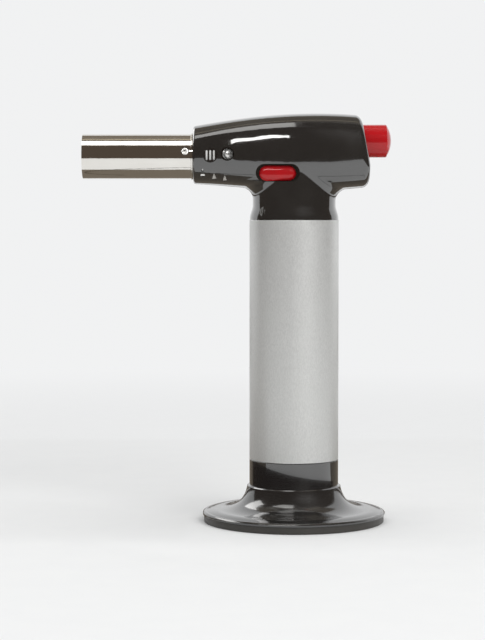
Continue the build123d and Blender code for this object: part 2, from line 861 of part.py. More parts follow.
# ---- mixing tube: gas and air mix in it on the way to the flame ----
with BuildPart() as mixing_tube:
    with BuildSketch(across(mixing_tube_back)):
        Circle(mixing_tube_r)
        Circle(mixing_tube_r - mixing_tube_wall, mode=Mode.SUBTRACT)
    extrude(amount=mixing_tube_front - mixing_tube_back)

finish("mixing_tube", mixing_tube.part)

# ---- burner collar: centres the mixing tube in the barrel and takes the fixing screw ----
with BuildPart() as burner_collar:
    with BuildSketch(across(collar_back)):
        Circle(burner_fit_r)
        Circle(mixing_tube_r + thread_gap, mode=Mode.SUBTRACT)
        with PolarLocations(spark_offset, 5, start_angle=150, angular_range=240, endpoint=True):
            Circle(collar_hole_r, mode=Mode.SUBTRACT)
        with Locations((0, spark_offset)):
            Circle(insulator_r + thread_gap, mode=Mode.SUBTRACT)
    extrude(amount=collar_front - collar_back)
    with BuildSketch(screw_plane.offset(mixing_tube_r - 1.0)):
        Circle(barrel_screw_r + thread_gap)
    extrude(amount=barrel_r, mode=Mode.SUBTRACT)

finish("burner_collar", burner_collar.part)

# ---- flame holder: a turned cup with a ring of ports and a ring of air holes ----
with BuildPart() as flame_holder:
    with BuildSketch(across(holder_back)):
        Circle(burner_fit_r)
    extrude(amount=holder_front - holder_back)
    with BuildSketch(across(holder_back)):
        Circle(mixing_tube_r + thread_gap)
    extrude(amount=mixing_tube_front - holder_back - gauze_thickness, mode=Mode.SUBTRACT)
    # a shallow dish at the front leaves a raised rim
    with BuildSketch(across(holder_front)):
        Circle(burner_fit_r - 1.0)
        Circle(mixing_tube_r, mode=Mode.SUBTRACT)
    extrude(amount=1.0, mode=Mode.SUBTRACT)
    with BuildSketch(across(holder_front)):
        Circle(centre_port_r)
        with PolarLocations(port_circle_r, port_count):
            Circle(port_r)
        with PolarLocations(spark_offset, 7, start_angle=130, angular_range=280, endpoint=True):
            Circle(collar_hole_r)
        with Locations((0, spark_offset)):
            Circle(insulator_r + thread_gap)
    extrude(amount=holder_back - holder_front, mode=Mode.SUBTRACT)

finish("flame_holder", flame_holder.part)

# ---- flame gauze: a fine screen against flashback, held by the mixing tube's end ----
with BuildPart() as flame_gauze:
    with BuildSketch(across(mixing_tube_front)):
        Circle(mixing_tube_r)
        with HexLocations(gauze_pitch / 2, 5, 5):
            Circle(gauze_hole_r, mode=Mode.SUBTRACT)
    extrude(amount=-gauze_thickness + rest_gap)

finish("flame_gauze", flame_gauze.part)

# ---- electrode and its ceramic insulator ----
with BuildPart() as electrode_insulator:
    with BuildSketch(across(block_back)):
        with Locations((0, spark_offset)):
            Circle(insulator_r)
    extrude(amount=insulator_front - block_back)
    with BuildSketch(across(block_back)):
        with Locations((0, spark_offset)):
            Circle(insulator_head_r)
    extrude(amount=insulator_head_length)
    with BuildSketch(across(block_back + insulator_head_length)):
        with Locations((0, spark_offset)):
            Circle(electrode_r + thread_gap)
    extrude(amount=insulator_front - block_back - insulator_head_length, mode=Mode.SUBTRACT)

finish("electrode_insulator", electrode_insulator.part)

with BuildPart() as electrode:
    with BuildLine() as electrode_path:
        FilletPolyline(
            (electrode_back, 0, spark_z),
            (electrode_bend, 0, spark_z),
            (electrode_tip_x, 0, spark_z - electrode_tip_drop),
            radius=1.2,
        )
    with BuildSketch(across(electrode_back)):
        with Locations((0, spark_offset)):
            Circle(electrode_r)
    sweep(path=electrode_path.wires()[0])

finish("electrode", electrode.part)

# ---- ignition lead: from the piezo's front to the electrode's tail ----
lead_start_z = button_z - 2.4
lead_route = [
    (piezo_front, 0, lead_start_z),
    (piezo_front - 3.4, 0, lead_start_z),
    (electrode_back + 3.4, 0, spark_z),
    (electrode_back, 0, spark_z),
]

with BuildPart() as ignition_lead:
    with BuildLine() as lead_path:
        FilletPolyline(*lead_route, radius=lead_bend_r)
    with BuildSketch(across(piezo_front, lead_start_z)):
        Circle(lead_r)
    sweep(path=lead_path.wires()[0])

finish("ignition_lead", ignition_lead.part)

# ---- piezo: body, crystal, plunger and spring ----
with BuildPart() as piezo_body:
    with BuildSketch(across(piezo_front, button_z)):
        RectangleRounded(piezo_width, piezo_height, 1.2)
    extrude(amount=piezo_back - piezo_front)
    shoulder_back = piezo_back - 4.0
    with BuildSketch(across(shoulder_back, button_z)):
        RectangleRounded(piezo_shoulder_width, piezo_height, 1.2)
    extrude(amount=-piezo_shoulder_length)
    with BuildSketch(across(piezo_back, button_z)):
        Circle(piezo_bore_r)
    extrude(amount=piezo_bore_front - piezo_back, mode=Mode.SUBTRACT)
    with BuildSketch(across(piezo_front, button_z)):
        Circle(crystal_r + thread_gap)
    extrude(amount=crystal_length, mode=Mode.SUBTRACT)

finish("piezo_body", piezo_body.part)

with BuildPart() as piezo_crystal:
    with BuildSketch(across(piezo_front, button_z)):
        Circle(crystal_r)
    extrude(amount=crystal_length - rest_gap)

finish("piezo_crystal", piezo_crystal.part)

with BuildPart() as piezo_plunger:
    with BuildSketch(across(plunger_inner, button_z)):
        Circle(piezo_bore_r - running_gap)
    extrude(amount=button_inner - plunger_inner)

finish("piezo_plunger", piezo_plunger.part)

piezo_spring = spring_along(
    across(piezo_bore_front, button_z),
    piezo_bore_r - piezo_spring_wire_r - 2 * running_gap,
    piezo_spring_wire_r,
    plunger_inner - piezo_bore_front,
    7,
)
finish("piezo_spring", piezo_spring)

# ---- ignition button: a hollow domed cap with a flange behind the head's rear wall ----
rear_slope = (head_back - rear_slope_top.X) / (rear_slope_top.Z - rear_slope_bottom_z)


def rear_inner_x(z):
    """Where the inner face of the sloped rear wall stands at height z."""
    return head_back - rear_slope * (z - rear_slope_bottom_z) - shell_wall


flange_back = rear_inner_x(button_z + button_flange_r) - rest_gap
dome_rise = button_dome_r - math.sqrt(button_dome_r**2 - (button_r - 0.6) ** 2)

with BuildPart() as ignition_button:
    with BuildSketch(facing_near(0)):
        with BuildLine():
            Line((button_inner, button_z), (button_inner, button_z + button_flange_r))
            Polyline(
                (button_inner, button_z + button_flange_r),
                (flange_back, button_z + button_flange_r),
                (flange_back, button_z + button_r),
                (button_tip - dome_rise - 0.6, button_z + button_r),
            )
            RadiusArc(
                (button_tip - dome_rise - 0.6, button_z + button_r),
                (button_tip - dome_rise, button_z + button_r - 0.6),
                0.75,
            )
            RadiusArc(
                (button_tip - dome_rise, button_z + button_r - 0.6),
                (button_tip, button_z),
                button_dome_r,
            )
            Line((button_tip, button_z), (button_inner, button_z))
        make_face()
    revolve(axis=Axis((0, 0, button_z), (1, 0, 0)))
    # hollow, with a post in the middle that meets the plunger
    with BuildSketch(across(button_inner, button_z)):
        Circle(button_r - button_wall)
        Circle(piezo_bore_r - running_gap, mode=Mode.SUBTRACT)
    extrude(amount=button_tip - button_inner - dome_rise - button_wall, mode=Mode.SUBTRACT)

finish("ignition_button", ignition_button.part)

# ---- gas tube: from the valve's outlet up and over to the jet ----
tube_start_x = -valve_barrel_r - 2.0
tube_turn_r = neck_r - shell_wall - tube_r - 2.0
tube_rise_x = jet_hex_back + 5.4
tube_end_x = jet_hex_back
tube_route = [
    (tube_start_x, 0, valve_outlet_z),
    (-tube_turn_r, 0, valve_outlet_z),
    (tube_rise_x, 0, valve_outlet_z + 5.0),
    (tube_rise_x, 0, flame_z),
    (tube_end_x, 0, flame_z),
]
tube_bend_radii = [2.6, 4.0, 2.2]

with BuildPart() as gas_tube:
    with BuildLine() as tube_path:
        FilletPolyline(*tube_route, radius=tube_bend_radii)
    with BuildSketch(across(tube_start_x, valve_outlet_z)):
        Circle(tube_r)
        Circle(tube_bore_r, mode=Mode.SUBTRACT)
    sweep(path=tube_path.wires()[0])

tube_section = math.pi * (tube_r**2 - tube_bore_r**2)
print("gas tube bends", tube_bend_radii, "volume over section and length",
      round(gas_tube.part.volume / (tube_section * tube_path.wires()[0].length), 4))
finish("gas_tube", gas_tube.part)

# ---- head shells: two glossy halves that meet on the middle plane ----
section_points = 20


def squared_oval(half_width, half_height, power):
    """Points round an oval whose squareness grows with its power."""
    points = []
    for step in range(section_points):
        turn = 2 * math.pi * (step + 0.5) / section_points
        across_part = math.copysign(abs(math.cos(turn)) ** (2 / power), math.cos(turn))
        up_part = math.copysign(abs(math.sin(turn)) ** (2 / power), math.sin(turn))
        points.append((half_width * across_part, half_height * up_part))
    return points


def head_form(inset):
    """The head and neck as one solid, drawn in on every side by inset."""
    blend = neck_blend_r if inset == 0 else 0
    with BuildPart() as form:
        for x, top, bottom, half_width, power in head_sections:
            half_height = (top - bottom) / 2 - inset
            with BuildSketch(across(x, head_base + (top + bottom) / 2)):
                with BuildLine():
                    Spline(*squared_oval(half_width - inset, half_height, power), periodic=True)
                make_face()
        loft()
        # the sloped rear face and the flat front face
        with BuildSketch(facing_near(0)):
            with BuildLine():
                Polyline(
                    (head_front + inset, head_base),
                    (head_back - inset, head_base),
                    (head_back - inset, rear_slope_bottom_z),
                    (head_back - inset - rear_slope * 30, rear_slope_bottom_z + 30),
                    (head_front + inset, rear_slope_bottom_z + 30),
                    close=True,
                )
            make_face()
        extrude(amount=30, both=True, mode=Mode.INTERSECT)
        if blend:
            fillet(form.faces().sort_by(Axis.X)[0].edges(), front_edge_r)
            rear_edges = form.edges().filter_by(lambda e: e.center().X > head_back - 6)
            fillet(rear_edges, rear_edge_r)
        with BuildSketch(facing_near(0)):
            with BuildLine():
                Polyline(
                    (neck_r - inset, head_base + neck_flare_height),
                    (neck_r - inset, flame_z),
                    (0, flame_z),
                    (0, head_base - 1),
                    (neck_bottom_r - inset, head_base - 1),
                    (neck_bottom_r - inset, head_base + 0.6),
                )
                Spline(
                    (neck_bottom_r - inset, head_base + 0.6),
                    (neck_r - inset, head_base + neck_flare_height),
                    tangents=((0, 1), (0, 1)),
                )
            make_face()
        revolve(axis=Axis.Z)
        if blend:
            joint_edges = form.edges().filter_by(
                lambda e: e.bounding_box().min.Z > head_base + 6
                and e.bounding_box().max.Z < flame_z
                and abs(e.center().X) < neck_r
                and e.length > 50
            )
            fillet(joint_edges, blend)
    return form.part


def web(x_from, x_to, z_from):
    """A rib across the head's inside, from z_from up to its roof."""
    with BuildPart() as across_web:
        add(head_rib_limit)
        with BuildSketch(across(x_from, 0)):
            with Locations((0, z_from + 30)):
                Rectangle(60, 60)
        extrude(amount=x_to - x_from, mode=Mode.INTERSECT)
    return across_web.part


head_outside = head_form(0)
head_inside = head_form(shell_wall)
head_rib_limit = head_form(shell_wall - 0.5)
stop_web = web(piezo_front - pocket_gap - rib_thickness, piezo_front - pocket_gap, cam_base_z - 0.2)
cradle_web = web(cradle_x, cradle_x + rib_thickness, cam_base_z - 0.2)
rear_web = web(shoulder_back + pocket_gap, shoulder_back + pocket_gap + rib_thickness, rear_web_z)


def on_wall(x, z, radius, y_from):
    """A round boss that stands on the near shell's wall and ends y_from short of the middle."""
    with BuildPart() as boss:
        add(head_rib_limit)
        with BuildSketch(facing_near(-y_from)):
            with Locations((x, z)):
                Circle(radius)
        extrude(amount=40, mode=Mode.INTERSECT)
    return boss.part


screw_boss = on_wall(screw_x, screw_z, screw_boss_r, block_r + 0.2)
dowel_bosses = [on_wall(x, z, dowel_boss_r, parting_gap) for x, z in dowel_places]
body_hole_length = 10.0

# everything that the two shells share, made on the near side
with BuildPart() as plain_half:
    add(head_outside)
    add(head_inside, mode=Mode.SUBTRACT)
    add(stop_web)
    add(cradle_web)
    add(rear_web)
    # pockets for the piezo and for the cam's rails
    with BuildSketch(across(piezo_front - pocket_gap, button_z)):
        Rectangle(piezo_width + 2 * pocket_gap, piezo_height + 2 * pocket_gap)
    extrude(amount=piezo_back - piezo_front, mode=Mode.SUBTRACT)
    front_pocket_height = button_z - cam_base_z + 0.5
    with BuildSketch(across(piezo_front - 3, button_z - front_pocket_height / 2)):
        Rectangle(2 * lower_pocket_half, front_pocket_height)
    extrude(amount=body_hole_length, mode=Mode.SUBTRACT)
    rear_pocket_height = button_z - cam_base_z + running_gap
    with BuildSketch(across(shoulder_back - 1, button_z - rear_pocket_height / 2)):
        Rectangle(2 * lower_pocket_half, rear_pocket_height)
    extrude(amount=4, mode=Mode.SUBTRACT)
    with BuildSketch(across(piezo_front - 3, lead_start_z)):
        Circle(lead_r + 0.2)
    extrude(amount=3, mode=Mode.SUBTRACT)
    # flange that grips the groove in the tank lid
    with BuildSketch(Plane.XY.offset(groove_bottom + rest_gap)):
        Circle(neck_r - 1.0)
        Circle(lid_neck_r - lid_groove_depth + running_gap, mode=Mode.SUBTRACT)
    extrude(amount=lid_groove_height - 2 * rest_gap)
    # screw boss with its recess and hole, and the dowel bosses
    add(screw_boss)
    add(dowel_bosses)
    with BuildSketch(facing_near(-screw_floor_y)):
        with Locations((screw_x, screw_z)):
            Circle(screw_recess_r)
    extrude(amount=body_hole_length, mode=Mode.SUBTRACT)
    with BuildSketch(facing_near(-block_r)):
        with Locations((screw_x, screw_z)):
            Circle(screw_shank_r + running_gap)
    extrude(amount=body_hole_length, mode=Mode.SUBTRACT)
    # holes for the barrel and the button
    with BuildSketch(across(head_front - 1)):
        Circle(barrel_r - barrel_seat_step + thread_gap)
    extrude(amount=body_hole_length, mode=Mode.SUBTRACT)
    with BuildSketch(across(button_inner, button_z)):
        Circle(button_r + button_hole_gap)
    extrude(amount=body_hole_length, mode=Mode.SUBTRACT)
    # round vent: a shallow dish with three upright slots through it
    with BuildSketch(facing_near(-vent_floor_y)):
        with Locations((vent_x, vent_z)):
            Circle(vent_r)
    extrude(amount=body_hole_length, mode=Mode.SUBTRACT)
    with BuildSketch(facing_near(-block_r)):
        with GridLocations(vent_slot_pitch, 0, 3, 1):
            with Locations((vent_x, vent_z)):
                SlotOverall(vent_slot_height, vent_slot_width, rotation=90)
    extrude(amount=body_hole_length, mode=Mode.SUBTRACT)
    # drop-shaped air slots, the first with a web across it
    with BuildSketch(facing_near(-drop_cut_y)):
        for x, base, width, height in drop_slots:
            low = head_base + base
            with BuildLine():
                Polyline((x - width / 2, low), (x + width / 2, low), (x, low + height), close=True)
            make_face()
        fillet(vertices(), 0.25)
        with Locations((drop_slots[0][0], head_base + drop_slots[0][1] + drop_bar_height)):
            Rectangle(2 * drop_slots[0][2], drop_bar, mode=Mode.SUBTRACT)
    extrude(amount=body_hole_length + 4, mode=Mode.SUBTRACT)
    split(bisect_by=facing_near(-parting_gap), keep=Keep.TOP)
    split(bisect_by=Plane.XY.offset(head_base), keep=Keep.TOP)

# the far shell has sockets for the dowels
with BuildPart() as housing_right:
    add(plain_half)
    mirror(about=Plane.XZ, mode=Mode.REPLACE)
    with BuildSketch(Plane.XZ.offset(-parting_gap)):
        with Locations(*dowel_places):
            Circle(dowel_r + running_gap)
    extrude(amount=-dowel_length - 2 * parting_gap - rest_gap, mode=Mode.SUBTRACT)

finish("housing_right", housing_right.part)

# the near shell has the dowels and the recess for the flow knob
with BuildPart() as knob_tray:
    add(head_rib_limit)
    with BuildSketch(facing_near(tray_back_y)):
        with Locations((recess_x, recess_z)):
            Rectangle(recess_length + 2 * tray_margin, recess_height + 2 * tray_margin)
    extrude(amount=body_hole_length, mode=Mode.INTERSECT)

with BuildPart() as housing_left:
    add(plain_half)
    add(knob_tray)
    with BuildSketch(facing_near(recess_floor_y)):
        with Locations((recess_x, recess_z)):
            SlotOverall(recess_length, recess_height)
    extrude(amount=body_hole_length, mode=Mode.SUBTRACT)
    with BuildSketch(facing_near(tray_back_y)):
        with Locations((knob_x, knob_z)):
            Rectangle(
                slider_neck_length + 2 * (flow_travel + running_gap),
                slider_height + 2 * running_gap,
            )
    extrude(amount=tray_thickness + 1, mode=Mode.SUBTRACT)
    with BuildSketch(facing_near(-parting_gap)):
        with Locations(*dowel_places):
            Circle(dowel_r)
    extrude(amount=-dowel_length - 2 * parting_gap)

finish("housing_left", housing_left.part)

# ---- housing screws: one into the burner block from each side ----
with BuildPart() as housing_screws:
    with BuildSketch(facing_near(-screw_floor_y)):
        with Locations((screw_x, screw_z)):
            Circle(screw_head_r)
    extrude(amount=screw_head_height)
    fillet(housing_screws.faces().sort_by(Axis.Y)[0].edges(), 0.6)
    with BuildSketch(facing_near(-screw_floor_y)):
        with Locations((screw_x, screw_z)):
            Circle(screw_shank_r)
    extrude(amount=screw_reach_y - screw_floor_y)
    with BuildSketch(facing_near(-screw_floor_y - screw_head_height)):
        with Locations((screw_x, screw_z)):
            Rectangle(0.5, 2.4)
            Rectangle(2.4, 0.5)
    extrude(amount=-0.8, mode=Mode.SUBTRACT)
    mirror(about=Plane.XZ)

finish("housing_screws", housing_screws.part)
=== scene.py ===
import json
import math

import bmesh
import bpy
from mathutils import Matrix, Vector
from mathutils.bvhtree import BVHTree


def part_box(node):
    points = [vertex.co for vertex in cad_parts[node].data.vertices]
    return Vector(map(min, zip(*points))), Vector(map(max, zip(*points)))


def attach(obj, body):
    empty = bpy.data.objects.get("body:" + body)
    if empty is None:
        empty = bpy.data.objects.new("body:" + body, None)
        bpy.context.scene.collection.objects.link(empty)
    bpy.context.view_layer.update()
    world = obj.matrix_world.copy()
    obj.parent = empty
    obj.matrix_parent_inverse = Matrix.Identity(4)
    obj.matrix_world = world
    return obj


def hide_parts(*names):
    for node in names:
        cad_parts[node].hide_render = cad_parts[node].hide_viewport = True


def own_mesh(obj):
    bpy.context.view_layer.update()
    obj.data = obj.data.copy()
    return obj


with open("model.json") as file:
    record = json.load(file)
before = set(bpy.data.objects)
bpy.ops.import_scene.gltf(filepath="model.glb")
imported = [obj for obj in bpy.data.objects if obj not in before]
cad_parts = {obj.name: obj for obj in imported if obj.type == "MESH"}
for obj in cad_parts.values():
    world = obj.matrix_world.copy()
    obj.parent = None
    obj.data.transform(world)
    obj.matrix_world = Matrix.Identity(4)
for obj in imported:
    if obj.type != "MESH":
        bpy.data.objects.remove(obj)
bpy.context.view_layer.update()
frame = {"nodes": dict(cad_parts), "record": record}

nodes = frame["nodes"]
print("frame loaded:", len(nodes), "CAD nodes")


# node tree helpers, used by the finishes and by the geometry trees
def addNode(tree, kind, inputs=None, **settings):
    node = tree.nodes.new(kind)
    for name, value in settings.items():
        setattr(node, name, value)
    for name, value in (inputs or {}).items():
        if isinstance(value, bpy.types.NodeSocket):
            tree.links.new(value, node.inputs[name])
        else:
            node.inputs[name].default_value = value
    return node


def openGroup(kind, name, inputs, outputs=("Geometry",)):
    # an input is given by its first value, or by the word Geometry or Material
    tree = bpy.data.node_groups.new(name, kind)
    valueKinds = {float: "Float", int: "Int", tuple: "Vector"}
    for label, value in inputs.items():
        socketKind = "NodeSocket" + valueKinds.get(type(value), str(value))
        socket = tree.interface.new_socket(name=label, in_out="INPUT", socket_type=socketKind)
        if type(value) in valueKinds:
            socket.default_value = value
    outputKind = "NodeSocketGeometry" if kind == "GeometryNodeTree" else "NodeSocketFloat"
    for label in outputs:
        tree.interface.new_socket(name=label, in_out="OUTPUT", socket_type=outputKind)
    return tree, tree.nodes.new("NodeGroupInput"), tree.nodes.new("NodeGroupOutput")


def placeGroup(tree, group, inputs):
    return addNode(tree, group.bl_idname.replace("Tree", "Group"), inputs, node_tree=group).outputs


def mathOf(tree, operation, first, second=0.0, kind="ShaderNodeMath"):
    return addNode(tree, kind, {0: first, 1: second}, operation=operation).outputs[0]


def plus(tree, first, second):
    return mathOf(tree, "ADD", first, second)


def minus(tree, first, second):
    return mathOf(tree, "SUBTRACT", first, second)


def times(tree, first, second):
    return mathOf(tree, "MULTIPLY", first, second)


def over(tree, first, second):
    return mathOf(tree, "DIVIDE", first, second)


def vectorOf(tree, x=0.0, y=0.0, z=0.0):
    return addNode(tree, "ShaderNodeCombineXYZ", {"X": x, "Y": y, "Z": z}).outputs["Vector"]


def splitOf(tree, vector):
    return addNode(tree, "ShaderNodeSeparateXYZ", {"Vector": vector}).outputs


def placeOf(tree):
    return addNode(tree, "ShaderNodeTexCoord").outputs["Object"]


def rampOf(tree, value, low, high, outLow=0.0, outHigh=1.0):
    inputs = {"Value": value, "From Min": low, "From Max": high, "To Min": outLow, "To Max": outHigh}
    return addNode(tree, "ShaderNodeMapRange", inputs, interpolation_type="SMOOTHSTEP").outputs["Result"]


def mixOf(tree, factor, first, second):
    node = addNode(tree, "ShaderNodeMix", {0: factor, 6: first, 7: second}, data_type="RGBA")
    return node.outputs[2]


# noise masks: scale in cycles a metre, detail, roughness, and where the mask starts and is full
noises = {
    "film": (48.0, 6.0, 0.62, 0.42, 0.7),
    "chips": (620.0, 4.0, 0.7, 0.4, 0.62),
    "patches": (60.0, 4.0, 0.6, 0.3, 0.72),
    "specks": (900.0, 5.0, 0.8, 0.55, 0.75),
    "drift": (70.0, 3.0, 0.5, 0.3, 0.7),
    "sparse": (120.0, 2.0, 0.5, 0.5, 0.68),
    # noise that breaks up the painted shade in recesses
    "shadeBreakup": (500.0, 4.0, 0.65, 0.3, 0.6),
}


def noiseMask(tree, name, least=0.0):
    scale, detail, roughness, low, high = noises[name]
    inputs = {"Vector": placeOf(tree), "Scale": scale, "Detail": detail, "Roughness": roughness}
    return rampOf(tree, addNode(tree, "ShaderNodeTexNoise", inputs).outputs["Fac"], low, high, least)


evenly = (1.0, 1.0, 1.0)


# shared effects: each is one group, placed in the materials with its own values
def makeMouldedSkin():
    inputs = {"Polish": 0.1, "Haze": 0.08, "Ripple Scale": 90.0}
    tree, start, end = openGroup("ShaderNodeTree", "mouldedSkin", inputs, ("Roughness", "Height", "Film"))
    rippleInputs = {"Vector": placeOf(tree), "Scale": start.outputs["Ripple Scale"], "Detail": 2.0}
    ripple = addNode(tree, "ShaderNodeTexNoise", rippleInputs).outputs["Fac"]
    film = noiseMask(tree, "film")
    rough = plus(tree, times(tree, film, start.outputs["Haze"]), start.outputs["Polish"])
    for label, value in (("Roughness", rough), ("Height", ripple), ("Film", film)):
        tree.links.new(value, end.inputs[label])
    return tree


def makeMask(name, inputs, build):
    tree, start, end = openGroup("ShaderNodeTree", name, inputs, ("Mask",))
    mask = times(tree, build(tree, start.outputs), start.outputs["Amount"])
    tree.links.new(mask, end.inputs["Mask"])
    return tree


def wornEdges(tree, given):
    sharp, rounded = 0.99, 0.86  # how far the bevelled normal still agrees with the face's own
    bevel = addNode(tree, "ShaderNodeBevel", {"Radius": given["Radius"]}, samples=6).outputs["Normal"]
    flat = addNode(tree, "ShaderNodeNewGeometry").outputs["Normal"]
    alike = addNode(tree, "ShaderNodeVectorMath", {0: bevel, 1: flat}, operation="DOT_PRODUCT")
    return times(tree, rampOf(tree, alike.outputs["Value"], sharp, rounded), noiseMask(tree, "chips"))


def settledDust(tree, given):
    leastOnWalls = 0.25
    upward = splitOf(tree, addNode(tree, "ShaderNodeNewGeometry").outputs["Normal"])["Z"]
    settled = rampOf(tree, upward, 0.1, 1.0, leastOnWalls)
    return times(tree, settled, times(tree, noiseMask(tree, "specks"), noiseMask(tree, "drift")))


def thinLines(tree, given):
    stretch, halfWidth = (1.0, 0.06, 0.06), 0.006
    place = placeOf(tree)
    total = 0.0
    for turn, seed in ((0.5, 0.0), (-0.9, 3.1), (1.4, 7.7)):
        laid = addNode(tree, "ShaderNodeMapping", {
            "Vector": place, "Location": (seed, seed, seed),
            "Rotation": (turn, turn * 0.7, turn), "Scale": stretch,
        })
        lines = addNode(tree, "ShaderNodeTexNoise", {
            "Vector": laid.outputs["Vector"], "Scale": given["Line Scale"],
            "Detail": 1.0, "Distortion": 0.3,
        })
        offset = mathOf(tree, "ABSOLUTE", minus(tree, lines.outputs["Fac"], 0.5))
        total = mathOf(tree, "MAXIMUM", total, rampOf(tree, offset, halfWidth, 0.0))
    return times(tree, total, noiseMask(tree, "sparse"))


# painted shade: darkens recesses and corners that the ambient occlusion finds closed in, broken up a little
# by noise
def darkCorners(tree, given):
    openAt, closedAt, leastShade = 0.85, 0.35, 0.6
    openness = addNode(tree, "ShaderNodeAmbientOcclusion", {"Distance": given["Reach"]}, samples=8)
    deep = rampOf(tree, openness.outputs["AO"], openAt, closedAt)
    return times(tree, deep, noiseMask(tree, "shadeBreakup", leastShade))


def makeFineGrain():
    inputs = {"Grain Scale": 2600.0, "Stretch": evenly}
    tree, start, end = openGroup("ShaderNodeTree", "fineGrain", inputs, ("Grain", "Patches"))
    stretched = mathOf(tree, "MULTIPLY", placeOf(tree), start.outputs["Stretch"], "ShaderNodeVectorMath")
    grainInputs = {
        "Vector": stretched, "Scale": start.outputs["Grain Scale"], "Detail": 3.0, "Roughness": 0.75,
    }
    grain = addNode(tree, "ShaderNodeTexNoise", grainInputs).outputs["Fac"]
    tree.links.new(rampOf(tree, grain, 0.3, 0.7), end.inputs["Grain"])
    tree.links.new(noiseMask(tree, "patches"), end.inputs["Patches"])
    return tree


mouldedSkin = makeMouldedSkin()
edgeWear = makeMask("edgeWear", {"Radius": 0.0004, "Amount": 0.6}, wornEdges)
fineGrain = makeFineGrain()
dustFilm = makeMask("dustFilm", {"Amount": 0.1}, settledDust)
hairScratches = makeMask("hairScratches", {"Line Scale": 240.0, "Amount": 0.5}, thinLines)
# painted shade for recesses, set from ambient occlusion
cavityPaintedShade = makeMask("cavityPaintedShade", {"Reach": 0.0008, "Amount": 0.6}, darkCorners)


def newFinish(name, shader):
    material = bpy.data.materials.new(name)
    material.use_nodes = True
    tree = material.node_tree
    surface = tree.nodes["Principled BSDF"]
    for socket, value in shader.items():
        surface.inputs[socket].default_value = value
    return material, tree, surface


def linkSurface(tree, surface, colour, rough, height, look):
    bumpInputs = {"Height": height, "Strength": look["bump"], "Distance": look["bumpDepth"]}
    bump = addNode(tree, "ShaderNodeBump", bumpInputs).outputs["Normal"]
    for socket, value in (("Base Color", colour), ("Roughness", rough), ("Normal", bump)):
        tree.links.new(value, surface.inputs[socket])


# glossy mouldings: head, tank, stand, button, slide
def glossyMoulding(name, look):
    scratchScale, scratchDull, wearDull, scratchDepth = 240.0, 0.25, 0.2, 0.15
    material, tree, surface = newFinish(name, look["shader"])
    skinInputs = {"Polish": look["polish"], "Haze": look["haze"], "Ripple Scale": look["rippleScale"]}
    skin = placeGroup(tree, mouldedSkin, skinInputs)
    wear = placeGroup(tree, edgeWear, {"Radius": look["wearRadius"], "Amount": look["wearAmount"]})["Mask"]
    dust = placeGroup(tree, dustFilm, {"Amount": look["dust"]})["Mask"]
    scratchInputs = {"Line Scale": scratchScale, "Amount": look["scratches"]}
    scratches = placeGroup(tree, hairScratches, scratchInputs)["Mask"]
    tinted = mixOf(tree, skin["Film"], look["colour"], look["filmColour"])
    rubbed = mixOf(tree, wear, tinted, look["wearColour"])
    dusty = mixOf(tree, dust, rubbed, look["dustColour"])
    rough = plus(tree, skin["Roughness"], times(tree, scratches, scratchDull))
    rough = plus(tree, rough, times(tree, wear, wearDull))
    height = minus(tree, skin["Height"], times(tree, scratches, scratchDepth))
    linkSurface(tree, surface, dusty, rough, height, look)
    return material


# metals: grain is drawn out along the direction that the piece was worked in
def workedMetal(name, look):
    scratchScale, scratchDull = 300.0, 0.2
    material, tree, surface = newFinish(name, look["shader"])
    grain = placeGroup(tree, fineGrain, {"Grain Scale": look["grainScale"], "Stretch": look["stretch"]})
    wear = placeGroup(tree, edgeWear, {"Radius": look["wearRadius"], "Amount": look["wearAmount"]})["Mask"]
    scratchInputs = {"Line Scale": scratchScale, "Amount": look["scratches"]}
    scratches = placeGroup(tree, hairScratches, scratchInputs)["Mask"]
    toned = mixOf(tree, grain["Grain"], look["colour"], look["grainColour"])
    stain = times(tree, grain["Patches"], look["patchAmount"])
    patched = mixOf(tree, stain, toned, look["patchColour"])
    rubbed = mixOf(tree, wear, patched, look["wearColour"])
    # painted shade: recesses found by ambient occlusion are mixed towards a dark tone
    cavityInputs = {"Reach": look["cavityReach"], "Amount": look["cavityAmount"]}
    shadedRecesses = mixOf(tree, placeGroup(tree, cavityPaintedShade, cavityInputs)["Mask"], rubbed, look["cavityShadeColour"])
    rough = rampOf(tree, grain["Grain"], 0.0, 1.0, look["roughLow"], look["roughHigh"])
    rough = plus(tree, rough, times(tree, grain["Patches"], look["smudge"]))
    rough = plus(tree, rough, times(tree, scratches, scratchDull))
    linkSurface(tree, surface, shadedRecesses, rough, grain["Grain"], look)
    return material


# matt pieces: rubber, ceramic, inner mouldings, wire jacket
def mattMoulding(name, look):
    material, tree, surface = newFinish(name, look["shader"])
    grain = placeGroup(tree, fineGrain, {"Grain Scale": look["grainScale"], "Stretch": evenly})
    wear = placeGroup(tree, edgeWear, {"Radius": look["wearRadius"], "Amount": look["wearAmount"]})["Mask"]
    dust = placeGroup(tree, dustFilm, {"Amount": look["dust"]})["Mask"]
    toned = mixOf(tree, grain["Patches"], look["colour"], look["filmColour"])
    rubbed = mixOf(tree, wear, toned, look["wearColour"])
    dusty = mixOf(tree, dust, rubbed, look["dustColour"])
    rough = rampOf(tree, grain["Grain"], 0.0, 1.0, look["roughLow"], look["roughHigh"])
    linkSurface(tree, surface, dusty, rough, grain["Grain"], look)
    return material


def tone(red, green, blue):
    return (red, green, blue, 1.0)


